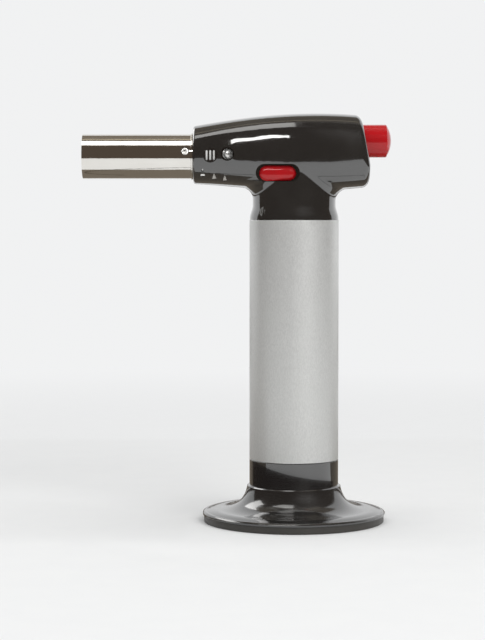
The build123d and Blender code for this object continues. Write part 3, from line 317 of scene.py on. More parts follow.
blackGloss = {
    "colour": tone(0.014, 0.0135, 0.013),
    "filmColour": tone(0.019, 0.018, 0.017),
    "wearColour": tone(0.06, 0.058, 0.055),
    "dustColour": tone(0.42, 0.40, 0.37),
    "polish": 0.085,
    "haze": 0.05,
    "rippleScale": 70.0,
    "wearRadius": 0.0004,
    "wearAmount": 0.35,
    "dust": 0.10,
    "scratches": 0.35,
    "bump": 0.05,
    "bumpDepth": 0.0006,
    "shader": {
        "IOR": 1.52, "Specular IOR Level": 0.9,
        "Coat Weight": 1.0, "Coat Roughness": 0.03, "Coat IOR": 1.75,
    },
}
redGloss = {
    **blackGloss,
    "colour": tone(0.47, 0.006, 0.010),
    "filmColour": tone(0.40, 0.005, 0.008),
    "wearColour": tone(0.62, 0.05, 0.05),
    "polish": 0.16,
    "dust": 0.06,
    "wearAmount": 0.25,
    "shader": {"IOR": 1.48, "Specular IOR Level": 0.4, "Coat Weight": 0.35, "Coat Roughness": 0.06},
}
mirrorChrome = {
    "colour": tone(0.86, 0.84, 0.80),
    "grainColour": tone(0.83, 0.81, 0.77),
    "patchColour": tone(0.78, 0.75, 0.70),
    "wearColour": tone(0.90, 0.88, 0.85),
    # the dark tone painted as shade into recesses
    "cavityShadeColour": tone(0.10, 0.085, 0.07),
    "patchAmount": 0.35,
    "grainScale": 900.0,
    "stretch": (0.08, 1.0, 1.0),
    "wearRadius": 0.0003,
    "wearAmount": 0.3,
    "scratches": 0.5,
    "roughLow": 0.03,
    "roughHigh": 0.055,
    "smudge": 0.035,
    "cavityReach": 0.0012,
    "cavityAmount": 0.5,
    "bump": 0.02,
    "bumpDepth": 0.0001,
    "shader": {"Metallic": 1.0, "IOR": 2.5},
}
satinSilver = {
    **mirrorChrome,
    "colour": tone(0.70, 0.705, 0.69),
    "grainColour": tone(0.82, 0.825, 0.81),
    "patchColour": tone(0.73, 0.74, 0.72),
    "wearColour": tone(0.85, 0.85, 0.84),
    "patchAmount": 0.4,
    "grainScale": 2400.0,
    "stretch": (1.0, 1.0, 0.35),
    "scratches": 0.3,
    "roughLow": 0.36,
    "roughHigh": 0.46,
    "smudge": 0.04,
    "cavityAmount": 0.2,
    "bump": 0.10,
    "shader": {"Metallic": 0.62, "IOR": 1.6, "Coat Weight": 0.1, "Coat Roughness": 0.3},
}
plainSteel = {
    **mirrorChrome,
    "colour": tone(0.66, 0.655, 0.64),
    "grainColour": tone(0.74, 0.735, 0.72),
    "patchColour": tone(0.58, 0.57, 0.54),
    "wearColour": tone(0.88, 0.87, 0.85),
    # the dark tone painted as shade into recesses
    "cavityShadeColour": tone(0.05, 0.045, 0.04),
    "grainScale": 1500.0,
    "stretch": evenly,
    "roughLow": 0.16,
    "roughHigh": 0.26,
    "smudge": 0.06,
    "cavityReach": 0.0006,
    "cavityAmount": 0.75,
    "bump": 0.03,
}
mattPlastic = {
    "colour": tone(0.10, 0.10, 0.10),
    "filmColour": tone(0.12, 0.12, 0.118),
    "wearColour": tone(0.2, 0.2, 0.2),
    "dustColour": tone(0.45, 0.43, 0.40),
    "grainScale": 1600.0,
    "wearRadius": 0.0003,
    "wearAmount": 0.3,
    "dust": 0.12,
    "roughLow": 0.42,
    "roughHigh": 0.6,
    "bump": 0.15,
    "bumpDepth": 0.0001,
    "shader": {"IOR": 1.5, "Specular IOR Level": 0.5},
}

# slot: maker, material name, the look it starts from, and what is its own
finishLooks = {
    "head_black": (glossyMoulding, "headBlackGloss", blackGloss, {}),
    "tank_black": (glossyMoulding, "tankBlackGloss", blackGloss, {
        "polish": 0.09, "colour": tone(0.012, 0.0115, 0.012),
    }),
    "stand_black": (glossyMoulding, "standBlackGloss", blackGloss, {
        "polish": 0.14, "rippleScale": 45.0,
        "shader": {**blackGloss["shader"], "Coat Weight": 0.6, "Coat Roughness": 0.09},
    }),
    "button_red": (glossyMoulding, "buttonRedGloss", redGloss, {}),
    "barrel_chrome": (workedMetal, "barrelMirrorChrome", mirrorChrome, {}),
    "sleeve_silver": (workedMetal, "sleeveSatinSilver", satinSilver, {}),
    "foot_grey": (mattMoulding, "footGreyRubber", mattPlastic, {
        "colour": tone(0.042, 0.039, 0.034), "filmColour": tone(0.052, 0.048, 0.042),
        "roughLow": 0.35, "roughHigh": 0.5,
    }),
    "brass": (workedMetal, "valveBrass", plainSteel, {
        "colour": tone(0.60, 0.42, 0.16), "grainColour": tone(0.70, 0.50, 0.22),
        "patchColour": tone(0.45, 0.30, 0.12), "wearColour": tone(0.85, 0.68, 0.36),
    }),
    "burner_steel": (workedMetal, "burnerSteel", plainSteel, {
        "colour": tone(0.42, 0.40, 0.38), "grainColour": tone(0.52, 0.49, 0.45),
        "patchColour": tone(0.30, 0.26, 0.24), "patchAmount": 0.6,
    }),
    "screw_steel": (workedMetal, "screwSteel", plainSteel, {
        "colour": tone(0.80, 0.79, 0.77), "grainColour": tone(0.86, 0.85, 0.83), "patchAmount": 0.2,
        "roughLow": 0.16, "roughHigh": 0.24, "smudge": 0.03, "shader": {"Metallic": 0.5, "IOR": 2.0},
    }),
    "spring_steel": (workedMetal, "springSteel", plainSteel, {
        "colour": tone(0.40, 0.40, 0.41), "grainColour": tone(0.5, 0.5, 0.5),
    }),
    "ceramic_white": (mattMoulding, "insulatorCeramic", mattPlastic, {
        "colour": tone(0.78, 0.76, 0.71), "filmColour": tone(0.70, 0.67, 0.62),
        "wearColour": tone(0.82, 0.8, 0.77), "roughLow": 0.25, "roughHigh": 0.4,
    }),
    "seal_rubber": (mattMoulding, "sealRubber", mattPlastic, {
        "colour": tone(0.02, 0.02, 0.021), "filmColour": tone(0.03, 0.03, 0.03),
        "wearColour": tone(0.06, 0.06, 0.06), "roughLow": 0.55, "roughHigh": 0.75,
    }),
    "hose_clear": (mattMoulding, "gasTubeNylon", mattPlastic, {
        "colour": tone(0.66, 0.64, 0.56), "filmColour": tone(0.60, 0.57, 0.48),
        "wearColour": tone(0.75, 0.73, 0.66), "roughLow": 0.2, "roughHigh": 0.32,
    }),
    "lead_black": (mattMoulding, "sparkLeadJacket", mattPlastic, {
        "colour": tone(0.022, 0.022, 0.024), "filmColour": tone(0.03, 0.03, 0.032),
        "wearColour": tone(0.07, 0.07, 0.07),
    }),
    "piezo_white": (mattMoulding, "igniterWhitePlastic", mattPlastic, {
        "colour": tone(0.72, 0.71, 0.67), "filmColour": tone(0.66, 0.65, 0.60),
        "wearColour": tone(0.78, 0.77, 0.74),
    }),
    "inner_plastic": (mattMoulding, "innerGreyPlastic", mattPlastic, {
        "colour": tone(0.17, 0.17, 0.165), "filmColour": tone(0.14, 0.14, 0.135),
        "wearColour": tone(0.3, 0.3, 0.3),
    }),
}
finishes = {slot: make(name, {**base, **own}) for slot, (make, name, base, own) in finishLooks.items()}
for part in frame["record"]["subparts"]:
    for materialSlot in nodes[part["node"]].material_slots:
        materialSlot.material = finishes[part["material_slot"]]
print("finishes made:", len(finishes))


# pieces made by rule: each tree is built here, run once and turned into a plain mesh
mergeReach = 0.000002
origin = (0.0, 0.0, 0.0)


def shapeOf(tree, kind, inputs=None, **settings):
    return addNode(tree, "GeometryNode" + kind, inputs, **settings).outputs[0]


def joinOf(tree, *parts):
    join = tree.nodes.new("GeometryNodeJoinGeometry")
    for part in parts:
        tree.links.new(part, join.inputs[0])
    return join.outputs[0]


def circleOf(tree, radius, corners):
    return shapeOf(tree, "CurvePrimitiveCircle", {"Resolution": corners, "Radius": radius})


def finishTree(tree, end, geometry, material):
    whole = shapeOf(tree, "RealizeInstances", {"Geometry": geometry})
    soft = shapeOf(tree, "SetShadeSmooth", {"Geometry": whole})
    dressed = shapeOf(tree, "SetMaterial", {"Geometry": soft, "Material": material})
    tree.links.new(dressed, end.inputs["Geometry"])


def runTree(name, tree, values, sharpAngle, startMesh=None):
    carrier = bpy.data.objects.new(name, startMesh or bpy.data.meshes.new(name))
    bpy.context.scene.collection.objects.link(carrier)
    modifier = carrier.modifiers.new("build", "NODES")
    modifier.node_group = tree
    for item in tree.interface.items_tree:
        if item.item_type == "SOCKET" and item.in_out == "INPUT" and item.name in values:
            modifier[item.identifier] = values[item.name]
    mesh = bpy.data.meshes.new_from_object(carrier.evaluated_get(bpy.context.evaluated_depsgraph_get()))
    carrier.modifiers.remove(modifier)
    mesh.name = name
    mesh.set_sharp_from_angle(angle=math.radians(sharpAngle))
    carrier.data = mesh
    print("piece", name, len(mesh.polygons), "faces")
    return carrier


def meshPiece(name, work, material):
    mesh = bpy.data.meshes.new(name)
    work.to_mesh(mesh)
    work.free()
    mesh.materials.append(material)
    piece = bpy.data.objects.new(name, mesh)
    bpy.context.scene.collection.objects.link(piece)
    print("piece", name, len(mesh.polygons), "faces")
    return piece


def roundedPath(corners, steps=4):
    # corners are (across, height, rounding); the first and last stay as they are
    path = [Vector(corners[0][:2])]
    for before, here, after in zip(corners, corners[1:], corners[2:]):
        corner = Vector(here[:2])
        if here[2] == 0:
            path.append(corner)
            continue
        back = (Vector(before[:2]) - corner).normalized()
        ahead = (Vector(after[:2]) - corner).normalized()
        half = back.angle(ahead) / 2
        centre = corner + (back + ahead).normalized() * (here[2] / math.sin(half))
        first = corner + back * (here[2] / math.tan(half)) - centre
        last = corner + ahead * (here[2] / math.tan(half)) - centre
        for step in range(steps + 1):
            path.append(centre + first.lerp(last, step / steps).normalized() * here[2])
    path.append(Vector(corners[-1][:2]))
    return path


def profileMesh(name, path, support=0.0004):
    # long runs get two more points near their ends, so that the rounding alone bends the light
    points = [path[0]]
    for before, here in zip(path, path[1:]):
        run = here - before
        if run.length > 8 * support:
            points += [before + run.normalized() * support, here - run.normalized() * support]
        points.append(here)
    mesh = bpy.data.meshes.new(name)
    mesh.from_pydata([(p.x, 0.0, p.y) for p in points], [(i, i + 1) for i in range(len(points) - 1)], [])
    return mesh


def makeTurned():
    inputs = {"Profile": "Geometry", "Segments": 96}
    tree, start, end = openGroup("GeometryNodeTree", "turned", inputs)
    profile, segments = start.outputs["Profile"], start.outputs["Segments"]
    rows = shapeOf(tree, "AttributeDomainSize", {"Geometry": profile})
    grid = shapeOf(tree, "MeshGrid", {"Vertices X": plus(tree, segments, 1.0), "Vertices Y": rows})
    index = shapeOf(tree, "InputIndex")
    column = mathOf(tree, "FLOOR", over(tree, plus(tree, index, 0.5), rows))
    row = minus(tree, index, times(tree, column, rows))
    sampleInputs = {"Geometry": profile, "Value": shapeOf(tree, "InputPosition"), "Index": row}
    sample = shapeOf(tree, "SampleIndex", sampleInputs, data_type="FLOAT_VECTOR", domain="POINT")
    split = splitOf(tree, sample)
    turn = times(tree, column, over(tree, math.tau, segments))
    across = times(tree, split["X"], mathOf(tree, "COSINE", turn))
    along = times(tree, split["X"], mathOf(tree, "SINE", turn))
    spot = vectorOf(tree, across, along, split["Z"])
    placed = shapeOf(tree, "SetPosition", {"Geometry": grid, "Position": spot})
    closed = shapeOf(tree, "MergeByDistance", {"Geometry": placed, "Distance": mergeReach})
    tree.links.new(closed, end.inputs["Geometry"])
    return tree


turned = makeTurned()


# sleeve: one spun tube with rolled ends
sleeveSizes = {"wall": 0.00065, "endRounding": 0.00022, "segments": 160}
sleeveLow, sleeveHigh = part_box("sleeve")
headBase = sleeveHigh[2]


def makeSpunSleeve():
    inputs = {"Profile": "Geometry", "Segments": 96, "Finish": "Material"}
    tree, start, end = openGroup("GeometryNodeTree", "spunSleeve", inputs)
    turnedInputs = {"Profile": start.outputs["Profile"], "Segments": start.outputs["Segments"]}
    finishTree(tree, end, placeGroup(tree, turned, turnedInputs)[0], start.outputs["Finish"])
    return tree


outer, rounding = sleeveHigh[0], sleeveSizes["endRounding"]
inner = outer - sleeveSizes["wall"]
middle = (sleeveLow[2] + sleeveHigh[2]) / 2
sleevePath = roundedPath([
    (inner, middle, 0), (inner, sleeveLow[2], rounding), (outer, sleeveLow[2], rounding),
    (outer, sleeveHigh[2], rounding), (inner, sleeveHigh[2], rounding), (inner, middle, 0),
])
spunSleeve = runTree(
    "spunSleeve", makeSpunSleeve(),
    {"Segments": sleeveSizes["segments"], "Finish": finishes["sleeve_silver"]},
    50, profileMesh("sleeveProfile", sleevePath),
)
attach(spunSleeve, "torch")
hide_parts("sleeve")


# head screws: a turned pan head with a driver cross, one from each side
screwSizes = {
    "place": (-0.0284, 0.0, headBase + 0.0276), "seat": 0.0122,
    "headRadius": 0.0021, "headHeight": 0.0027, "shankRadius": 0.0011, "shankLength": 0.0072,
    "threadPitch": 0.00045, "threadDepth": 0.00022, "threadEnd": 0.0003, "plainNeck": 0.0008,
    "crossWidth": 0.00048, "crossLength": 0.0023, "crossDepth": 0.0008, "crossTurn": 0.5,
    # the washer rim and the dome, in shares of the head's radius and height
    "headCurve": [
        (1.08, 0.0), (1.12, 0.03), (1.12, 0.14), (1.08, 0.17), (1.0, 0.18), (1.0, 0.58), (0.975, 0.68),
        (0.90, 0.79), (0.78, 0.875), (0.6, 0.94), (0.4, 0.98), (0.2, 0.996), (0.0, 1.0),
    ],
}


def makePanHeadScrews():
    tree, start, end = openGroup("GeometryNodeTree", "panHeadScrews", {
        "Profile": "Geometry", "Head Height": 0.0015, "Cross Width": 0.0005, "Cross Length": 0.0023,
        "Cross Depth": 0.0008, "Cross Turn": 0.5, "Place": origin, "Seat": 0.0122, "Finish": "Material",
    })
    size = start.outputs
    blank = placeGroup(tree, turned, {"Profile": size["Profile"], "Segments": 48})[0]
    deep = times(tree, size["Cross Depth"], 2.0)
    top = vectorOf(tree, z=size["Head Height"])
    cut = addNode(tree, "GeometryNodeMeshBoolean", {"Mesh 1": blank}, operation="DIFFERENCE")
    for long, short in (("Cross Length", "Cross Width"), ("Cross Width", "Cross Length")):
        bar = shapeOf(tree, "MeshCube", {"Size": vectorOf(tree, size[long], size[short], deep)})
        raised = shapeOf(tree, "Transform", {"Geometry": bar, "Translation": top})
        tree.links.new(raised, cut.inputs["Mesh 2"])
    index = shapeOf(tree, "InputIndex")
    side = minus(tree, 1.0, times(tree, index, 2.0))
    away = vectorOf(tree, y=times(tree, side, times(tree, size["Seat"], -1.0)))
    spot = mathOf(tree, "ADD", size["Place"], away, "ShaderNodeVectorMath")
    pair = shapeOf(tree, "MeshLine", {"Count": 2})
    spread = shapeOf(tree, "SetPosition", {"Geometry": pair, "Position": spot})
    lean = vectorOf(tree, times(tree, side, math.pi / 2), 0.0, size["Cross Turn"])
    screws = shapeOf(tree, "InstanceOnPoints", {
        "Points": spread, "Instance": cut.outputs["Mesh"], "Rotation": lean,
    })
    finishTree(tree, end, screws, size["Finish"])
    return tree


head, rise, shank = screwSizes["headRadius"], screwSizes["headHeight"], screwSizes["shankRadius"]
tip, pitch, threadEnd = -screwSizes["shankLength"], screwSizes["threadPitch"], screwSizes["threadEnd"]
root = shank - screwSizes["threadDepth"]
screwPath = [Vector((0.0, tip)), Vector((shank * 0.75, tip))]
for ring in range(int((-tip - screwSizes["plainNeck"]) / pitch)):
    low = tip + threadEnd + ring * pitch
    screwPath += [Vector((root, low)), Vector((shank, low + pitch / 2))]
screwPath += [Vector((root, -threadEnd)), Vector((shank, 0.0))]
screwPath += [Vector((head * across, rise * up)) for across, up in screwSizes["headCurve"]]
panHeadScrews = runTree(
    "panHeadScrews", makePanHeadScrews(),
    {
        "Head Height": rise, "Cross Width": screwSizes["crossWidth"],
        "Cross Length": screwSizes["crossLength"], "Cross Depth": screwSizes["crossDepth"],
        "Cross Turn": screwSizes["crossTurn"],
        "Place": screwSizes["place"], "Seat": screwSizes["seat"], "Finish": finishes["screw_steel"],
    },
    38, profileMesh("screwProfile", screwPath, 1.0),
)
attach(panHeadScrews, "torch")
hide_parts("housing_screws")


# flame gauze: two families of wires woven over and under, and a rim ring
gauzeSizes = {
    "pitch": 0.00072, "wire": 0.0001, "rim": 0.0002, "clearance": 0.00002,
    "stepsInPitch": 5.0, "wireCorners": 7, "rimCorners": 10, "rimSteps": 72,
}


def makeWovenGauze():
    tree, start, end = openGroup("GeometryNodeTree", "wovenGauze", {
        "Radius": 0.004, "Pitch": 0.0007, "Wire Radius": 0.0001, "Rim Radius": 0.0002,
        "Place": origin, "Finish": "Material",
    })
    size = start.outputs
    radius, pitch = size["Radius"], size["Pitch"]
    steps = mathOf(tree, "FLOOR", over(tree, radius, pitch))
    spots = shapeOf(tree, "MeshLine", {
        "Count": plus(tree, times(tree, steps, 2.0), 1.0),
        "Start Location": vectorOf(tree, times(tree, steps, times(tree, pitch, -1.0))),
        "Offset": vectorOf(tree, pitch),
    })
    here = splitOf(tree, shapeOf(tree, "InputPosition"))
    squared = minus(tree, times(tree, radius, radius), times(tree, here["X"], here["X"]))
    reach = mathOf(tree, "SQRT", mathOf(tree, "MAXIMUM", squared, 1e-9))
    unit = shapeOf(tree, "CurvePrimitiveLine", {"Start": (0.0, -1.0, 0.0), "End": (0.0, 1.0, 0.0)})
    stretch = vectorOf(tree, 1.0, reach, 1.0)
    laid = shapeOf(tree, "InstanceOnPoints", {"Points": spots, "Instance": unit, "Scale": stretch})
    wires = shapeOf(tree, "RealizeInstances", {"Geometry": laid})
    spacing = over(tree, pitch, gauzeSizes["stepsInPitch"])
    fine = shapeOf(tree, "ResampleCurve", {"Curve": wires, "Length": spacing}, mode="LENGTH")
    turn = times(tree, over(tree, here["Y"], pitch), math.pi)
    parity = times(tree, mathOf(tree, "ROUND", over(tree, here["X"], pitch)), math.pi)
    lift = times(tree, mathOf(tree, "COSINE", plus(tree, turn, parity)), size["Wire Radius"])
    warp = shapeOf(tree, "SetPosition", {"Geometry": fine, "Offset": vectorOf(tree, z=lift)})
    weft = shapeOf(tree, "Transform", {
        "Geometry": warp, "Rotation": (0.0, 0.0, math.pi / 2), "Scale": (1.0, 1.0, -1.0),
    })
    woven = shapeOf(tree, "CurveToMesh", {
        "Curve": joinOf(tree, warp, weft), "Fill Caps": True,
        "Profile Curve": circleOf(tree, size["Wire Radius"], gauzeSizes["wireCorners"]),
    })
    rim = shapeOf(tree, "CurveToMesh", {
        "Curve": circleOf(tree, minus(tree, radius, size["Rim Radius"]), gauzeSizes["rimSteps"]),
        "Profile Curve": circleOf(tree, size["Rim Radius"], gauzeSizes["rimCorners"]),
    })
    stood = shapeOf(tree, "Transform", {
        "Geometry": joinOf(tree, woven, rim), "Rotation": (0.0, math.pi / 2, 0.0),
        "Translation": size["Place"],
    })
    finishTree(tree, end, stood, size["Finish"])
    return tree


gauzeLow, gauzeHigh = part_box("flame_gauze")
wovenGauze = runTree(
    "wovenGauze", makeWovenGauze(),
    {
        "Radius": (gauzeHigh[1] - gauzeLow[1]) / 2 - gauzeSizes["clearance"], "Pitch": gauzeSizes["pitch"],
        "Wire Radius": gauzeSizes["wire"], "Rim Radius": gauzeSizes["rim"],
        "Place": tuple((low + high) / 2 for low, high in zip(gauzeLow, gauzeHigh)),
        "Finish": finishes["burner_steel"],
    },
    50,
)
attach(wovenGauze, "torch")
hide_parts("flame_gauze")


# springs: coils with closed ends
springSizes = {
    "valve_spring": {
        "wire": 0.0003, "turns": 7, "axis": 2, "fixedEnd": 1, "joint": "valve_lift", "travel": 0.001,
    },
    "piezo_spring": {
        "wire": 0.00035, "turns": 7, "axis": 0, "fixedEnd": 0, "joint": "button_press", "travel": 0.005,
    },
    "refill_spring": {
        "wire": 0.00025, "turns": 6, "axis": 2, "fixedEnd": 1, "joint": "refill_press", "travel": 0.002,
    },
}
stepsInTurn, wireCorners = 32, 10


def makeCoilSpring():
    tree, start, end = openGroup("GeometryNodeTree", "coilSpring", {
        "Coil Radius": 0.002, "Wire Radius": 0.0003, "Length": 0.007, "Turns": 6.0,
        "Lean": origin, "Place": origin, "Finish": "Material",
    })
    size = start.outputs
    points = plus(tree, times(tree, size["Turns"], stepsInTurn), 1.0)
    line = shapeOf(tree, "MeshLine", {"Count": points})
    turn = over(tree, shapeOf(tree, "InputIndex"), stepsInTurn)
    angle = times(tree, turn, math.tau)
    # the first and last turns lie shut, and the length that is left is shared by the turns between
    thick = times(tree, size["Wire Radius"], 2.0)
    working = minus(tree, size["Turns"], 2.0)
    spare = minus(tree, size["Length"], times(tree, thick, 3.0))
    openTurns = mathOf(tree, "MINIMUM", mathOf(tree, "MAXIMUM", minus(tree, turn, 1.0), 0.0), working)
    shut = minus(tree, turn, openTurns)
    rise = plus(tree, times(tree, shut, thick), times(tree, openTurns, over(tree, spare, working)))
    across = times(tree, size["Coil Radius"], mathOf(tree, "COSINE", angle))
    along = times(tree, size["Coil Radius"], mathOf(tree, "SINE", angle))
    spot = vectorOf(tree, across, along, plus(tree, rise, size["Wire Radius"]))
    wound = shapeOf(tree, "SetPosition", {"Geometry": line, "Position": spot})
    coil = shapeOf(tree, "CurveToMesh", {
        "Curve": shapeOf(tree, "MeshToCurve", {"Mesh": wound}), "Fill Caps": True,
        "Profile Curve": circleOf(tree, size["Wire Radius"], wireCorners),
    })
    placed = shapeOf(tree, "Transform", {
        "Geometry": coil, "Rotation": size["Lean"], "Translation": size["Place"],
    })
    finishTree(tree, end, placed, size["Finish"])
    return tree


coilTree = makeCoilSpring()
for springNode, spring in springSizes.items():
    low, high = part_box(springNode)
    axis = spring["axis"]
    foot = [(a + b) / 2 for a, b in zip(low, high)]
    foot[axis] = low[axis]
    anchor = list(foot)
    anchor[axis] = (low, high)[spring["fixedEnd"]][axis]
    length = high[axis] - low[axis]
    coil = runTree(
        springNode.split("_")[0] + "Coil", coilTree,
        {
            "Coil Radius": (high[1] - low[1]) / 2 - spring["wire"], "Wire Radius": spring["wire"],
            "Length": length, "Turns": float(spring["turns"]),
            "Lean": (0.0, math.pi / 2 if axis == 0 else 0.0, 0.0), "Place": foot,
            "Finish": finishes["spring_steel"],
        },
        40,
    )
    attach(coil, "torch")
    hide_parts(springNode)
    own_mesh(coil)


# vent louvres: a polished slat in each upright slot of the round vents, leaning outwards at the top
louvreSizes = {
    "place": (-0.0355, 0.01300, headBase + 0.0271), "pitch": 0.0015, "width": 0.0008, "height": 0.00425,
    "thickness": 0.0004, "lean": 9.0, "endShare": 0.49, "endSteps": 7, "slats": 3,
}


def makeVentLouvres():
    tree, start, end = openGroup("GeometryNodeTree", "ventLouvres", {
        "Place": origin, "Pitch": 0.0015, "Width": 0.0008, "Height": 0.004, "Thickness": 0.0005,
        "Lean": 0.3, "Finish": "Material",
    })
    size = start.outputs
    mirror = (1.0, -1.0, 1.0)
    blank = shapeOf(tree, "CurvePrimitiveQuadrilateral", {"Width": size["Width"], "Height": size["Height"]})
    ends = {"Radius": times(tree, size["Width"], louvreSizes["endShare"]), "Count": louvreSizes["endSteps"]}
    eased = shapeOf(tree, "FilletCurve", {"Curve": blank, **ends}, mode="POLY")
    face = shapeOf(tree, "FillCurve", {"Curve": eased}, mode="NGONS")
    front = {"Mesh": face, "Offset Scale": size["Thickness"], "Individual": False}
    shut = joinOf(tree, shapeOf(tree, "ExtrudeMesh", front), shapeOf(tree, "FlipFaces", {"Mesh": face}))
    slat = shapeOf(tree, "MergeByDistance", {"Geometry": shut, "Distance": mergeReach})
    spots = shapeOf(tree, "MeshLine", {
        "Count": louvreSizes["slats"], "Start Location": vectorOf(tree, times(tree, size["Pitch"], -1.0)),
        "Offset": vectorOf(tree, size["Pitch"]),
    })
    lean = vectorOf(tree, plus(tree, size["Lean"], math.pi / 2))
    row = shapeOf(tree, "InstanceOnPoints", {"Points": spots, "Instance": slat, "Rotation": lean})
    solid = shapeOf(tree, "RealizeInstances", {"Geometry": row})
    place = mathOf(tree, "MULTIPLY", size["Place"], mirror, "ShaderNodeVectorMath")
    near = shapeOf(tree, "Transform", {"Geometry": solid, "Translation": place})
    mirrored = shapeOf(tree, "Transform", {"Geometry": near, "Scale": mirror})
    far = shapeOf(tree, "FlipFaces", {"Mesh": mirrored})
    finishTree(tree, end, joinOf(tree, near, far), size["Finish"])
    return tree


ventLouvres = runTree(
    "ventLouvres", makeVentLouvres(),
    {
        "Place": louvreSizes["place"], "Pitch": louvreSizes["pitch"], "Width": louvreSizes["width"],
        "Height": louvreSizes["height"], "Thickness": louvreSizes["thickness"],
        "Lean": math.radians(louvreSizes["lean"]), "Finish": finishes["screw_steel"],
    },
    35,
)
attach(ventLouvres, "torch")


# bright inlays in the drop-shaped slots, set a little below the shells' surface
dropSizes = {
    "slots": [
        # x, height over the head's base, width, height
        (-0.0388, 0.0184, 0.0022, 0.0039), (-0.0340, 0.0171, 0.0021, 0.0028),
        (-0.0295, 0.0164, 0.0019, 0.0028),
    ],
    "rounding": 0.00022, "clearance": 0.00007, "sunk": 0.00022, "thickness": 0.0009,
    "webLow": 0.0009, "webHigh": 0.0019, "mergeReach": 0.000003,
    # where the shell's surface is found beside and above a slot, in shares of its half width and height
    "probes": ((-1.1, 0.1), (1.1, 0.1), (0.0, 1.25)), "probeFrom": 0.05,
}


def surfaceFinder(nodeName):
    mesh = nodes[nodeName].data
    return BVHTree.FromPolygons([v.co for v in mesh.vertices], [p.vertices for p in mesh.polygons])


def dropOutline(width, height, low, high):
    # an upright drop with a flat foot, cut between two heights
    gap, rounding = dropSizes["clearance"], dropSizes["rounding"]
    half, tall = width / 2 - gap * 1.6, height - gap * 2.6
    foot = (0.0, gap, 0)
    corners = [foot, (half, gap, rounding), (0.0, tall, rounding), (-half, gap, rounding), foot]
    loop = roundedPath(corners, 5)[:-1]
    kept = []
    for before, here in zip(loop[-1:] + loop[:-1], loop):
        for level in (low, high):
            if (before.y - level) * (here.y - level) < 0:
                kept.append(before.lerp(here, (level - before.y) / (here.y - before.y)))
        if low <= here.y <= high:
            kept.append(here)
    return kept


def dropPlates(work, finder, side):
    for number, (x, base, width, height) in enumerate(dropSizes["slots"]):
        low = headBase + base
        hits = []
        for across, up in dropSizes["probes"]:
            start = Vector((x + across * width / 2, side * dropSizes["probeFrom"], low + up * height))
            hits.append(finder.ray_cast(start, Vector((0.0, -side, 0.0)))[0])
        normal = (hits[1] - hits[0]).cross(hits[2] - hits[0]).normalized()
        if normal.y * side < 0:
            normal.negate()
        # a web of the shell crosses the first slot, so its plate is in two
        whole, parted = [(0.0, height)], [(0.0, dropSizes["webLow"]), (dropSizes["webHigh"], height)]
        for bottom, top in parted if number == 0 else whole:
            ring = []
            for point in dropOutline(width, height, bottom, top):
                spot = Vector((x + point.x, 0.0, low + point.y))
                slope = normal.x * (spot.x - hits[0].x) + normal.z * (spot.z - hits[0].z)
                spot.y = hits[0].y - slope / normal.y
                ring.append(spot - normal * dropSizes["sunk"])
            front = [work.verts.new(point) for point in ring]
            rear = [work.verts.new(point - normal * dropSizes["thickness"]) for point in ring]
            work.faces.new(front)
            work.faces.new(rear[::-1])
            for i in range(len(ring)):
                j = (i + 1) % len(ring)
                work.faces.new((front[j], front[i], rear[i], rear[j]))


plates = bmesh.new()
dropPlates(plates, surfaceFinder("housing_left"), -1)
dropPlates(plates, surfaceFinder("housing_right"), 1)
bmesh.ops.remove_doubles(plates, verts=plates.verts, dist=dropSizes["mergeReach"])
bmesh.ops.recalc_face_normals(plates, faces=plates.faces)
dropInlays = meshPiece("dropInlays", plates, finishes["screw_steel"])
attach(dropInlays, "torch")


# flow slide: a crowned thumb piece, hollow behind where it grips the slider
knobSizes = {
    # how far each ring lies inside the outline, and how far out from the back it stands
    "rings": [
        (0.0, 0.0), (0.0, 0.0011), (0.00008, 0.0016), (0.00032, 0.0021),
        (0.00075, 0.00252), (0.00135, 0.00284), (0.002, 0.00304), (0.0026, 0.00315),
    ],
    "arcSteps": 14, "socketDepth": 0.00115, "socketHalf": (0.00222, 0.00152), "swell": (0.0001, 0.0004),
    "sharpAngle": 35,
}
knobLow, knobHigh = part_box("flow_knob")
knobBack = knobHigh[1]
knobX, knobZ = (knobLow[0] + knobHigh[0]) / 2, (knobLow[2] + knobHigh[2]) / 2


def stadium(inset, y):
    swellX, swellZ = knobSizes["swell"]
    radius = (knobHigh[2] - knobLow[2]) / 2 + swellZ - inset
    reach = (knobHigh[0] - knobLow[0]) / 2 + swellX - inset - radius
    centre = Vector((knobX, y, knobZ))
    ring = []
    for end in (1, -1):
        for step in range(knobSizes["arcSteps"] + 1):
            turn = math.radians(-90 + 180 * step / knobSizes["arcSteps"])
            across, up = reach + radius * math.cos(turn), radius * math.sin(turn)
            ring.append(centre + Vector((end * across, 0.0, end * up)))
    return ring


thumb = bmesh.new()
rings = [[thumb.verts.new(p) for p in stadium(inset, knobBack - out)] for inset, out in knobSizes["rings"]]
for lower, upper in zip(rings, rings[1:]):
    for i in range(len(lower)):
        j = (i + 1) % len(lower)
        thumb.faces.new((lower[i], lower[j], upper[j], upper[i]))
thumb.faces.new(rings[-1])
halfX, halfZ = knobSizes["socketHalf"]
square = ((1, -1), (1, 1), (-1, 1), (-1, -1))
mouth, inmost = [
    [thumb.verts.new((knobX + a * halfX, y, knobZ + b * halfZ)) for a, b in square]
    for y in (knobBack, knobBack - knobSizes["socketDepth"])
]
for i in range(4):
    thumb.faces.new((mouth[i], mouth[(i + 1) % 4], inmost[(i + 1) % 4], inmost[i]))
thumb.faces.new(inmost)
outline = [edge for edge in thumb.edges if len(edge.link_faces) == 1]
bmesh.ops.triangle_fill(thumb, edges=outline, use_beauty=True)
bmesh.ops.recalc_face_normals(thumb, faces=thumb.faces)
crownedSlide = meshPiece("crownedSlide", thumb, finishes["button_red"])
crownedSlide.data.shade_smooth()
crownedSlide.data.set_sharp_from_angle(angle=math.radians(knobSizes["sharpAngle"]))
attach(crownedSlide, "flow_slide")
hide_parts("flow_knob")


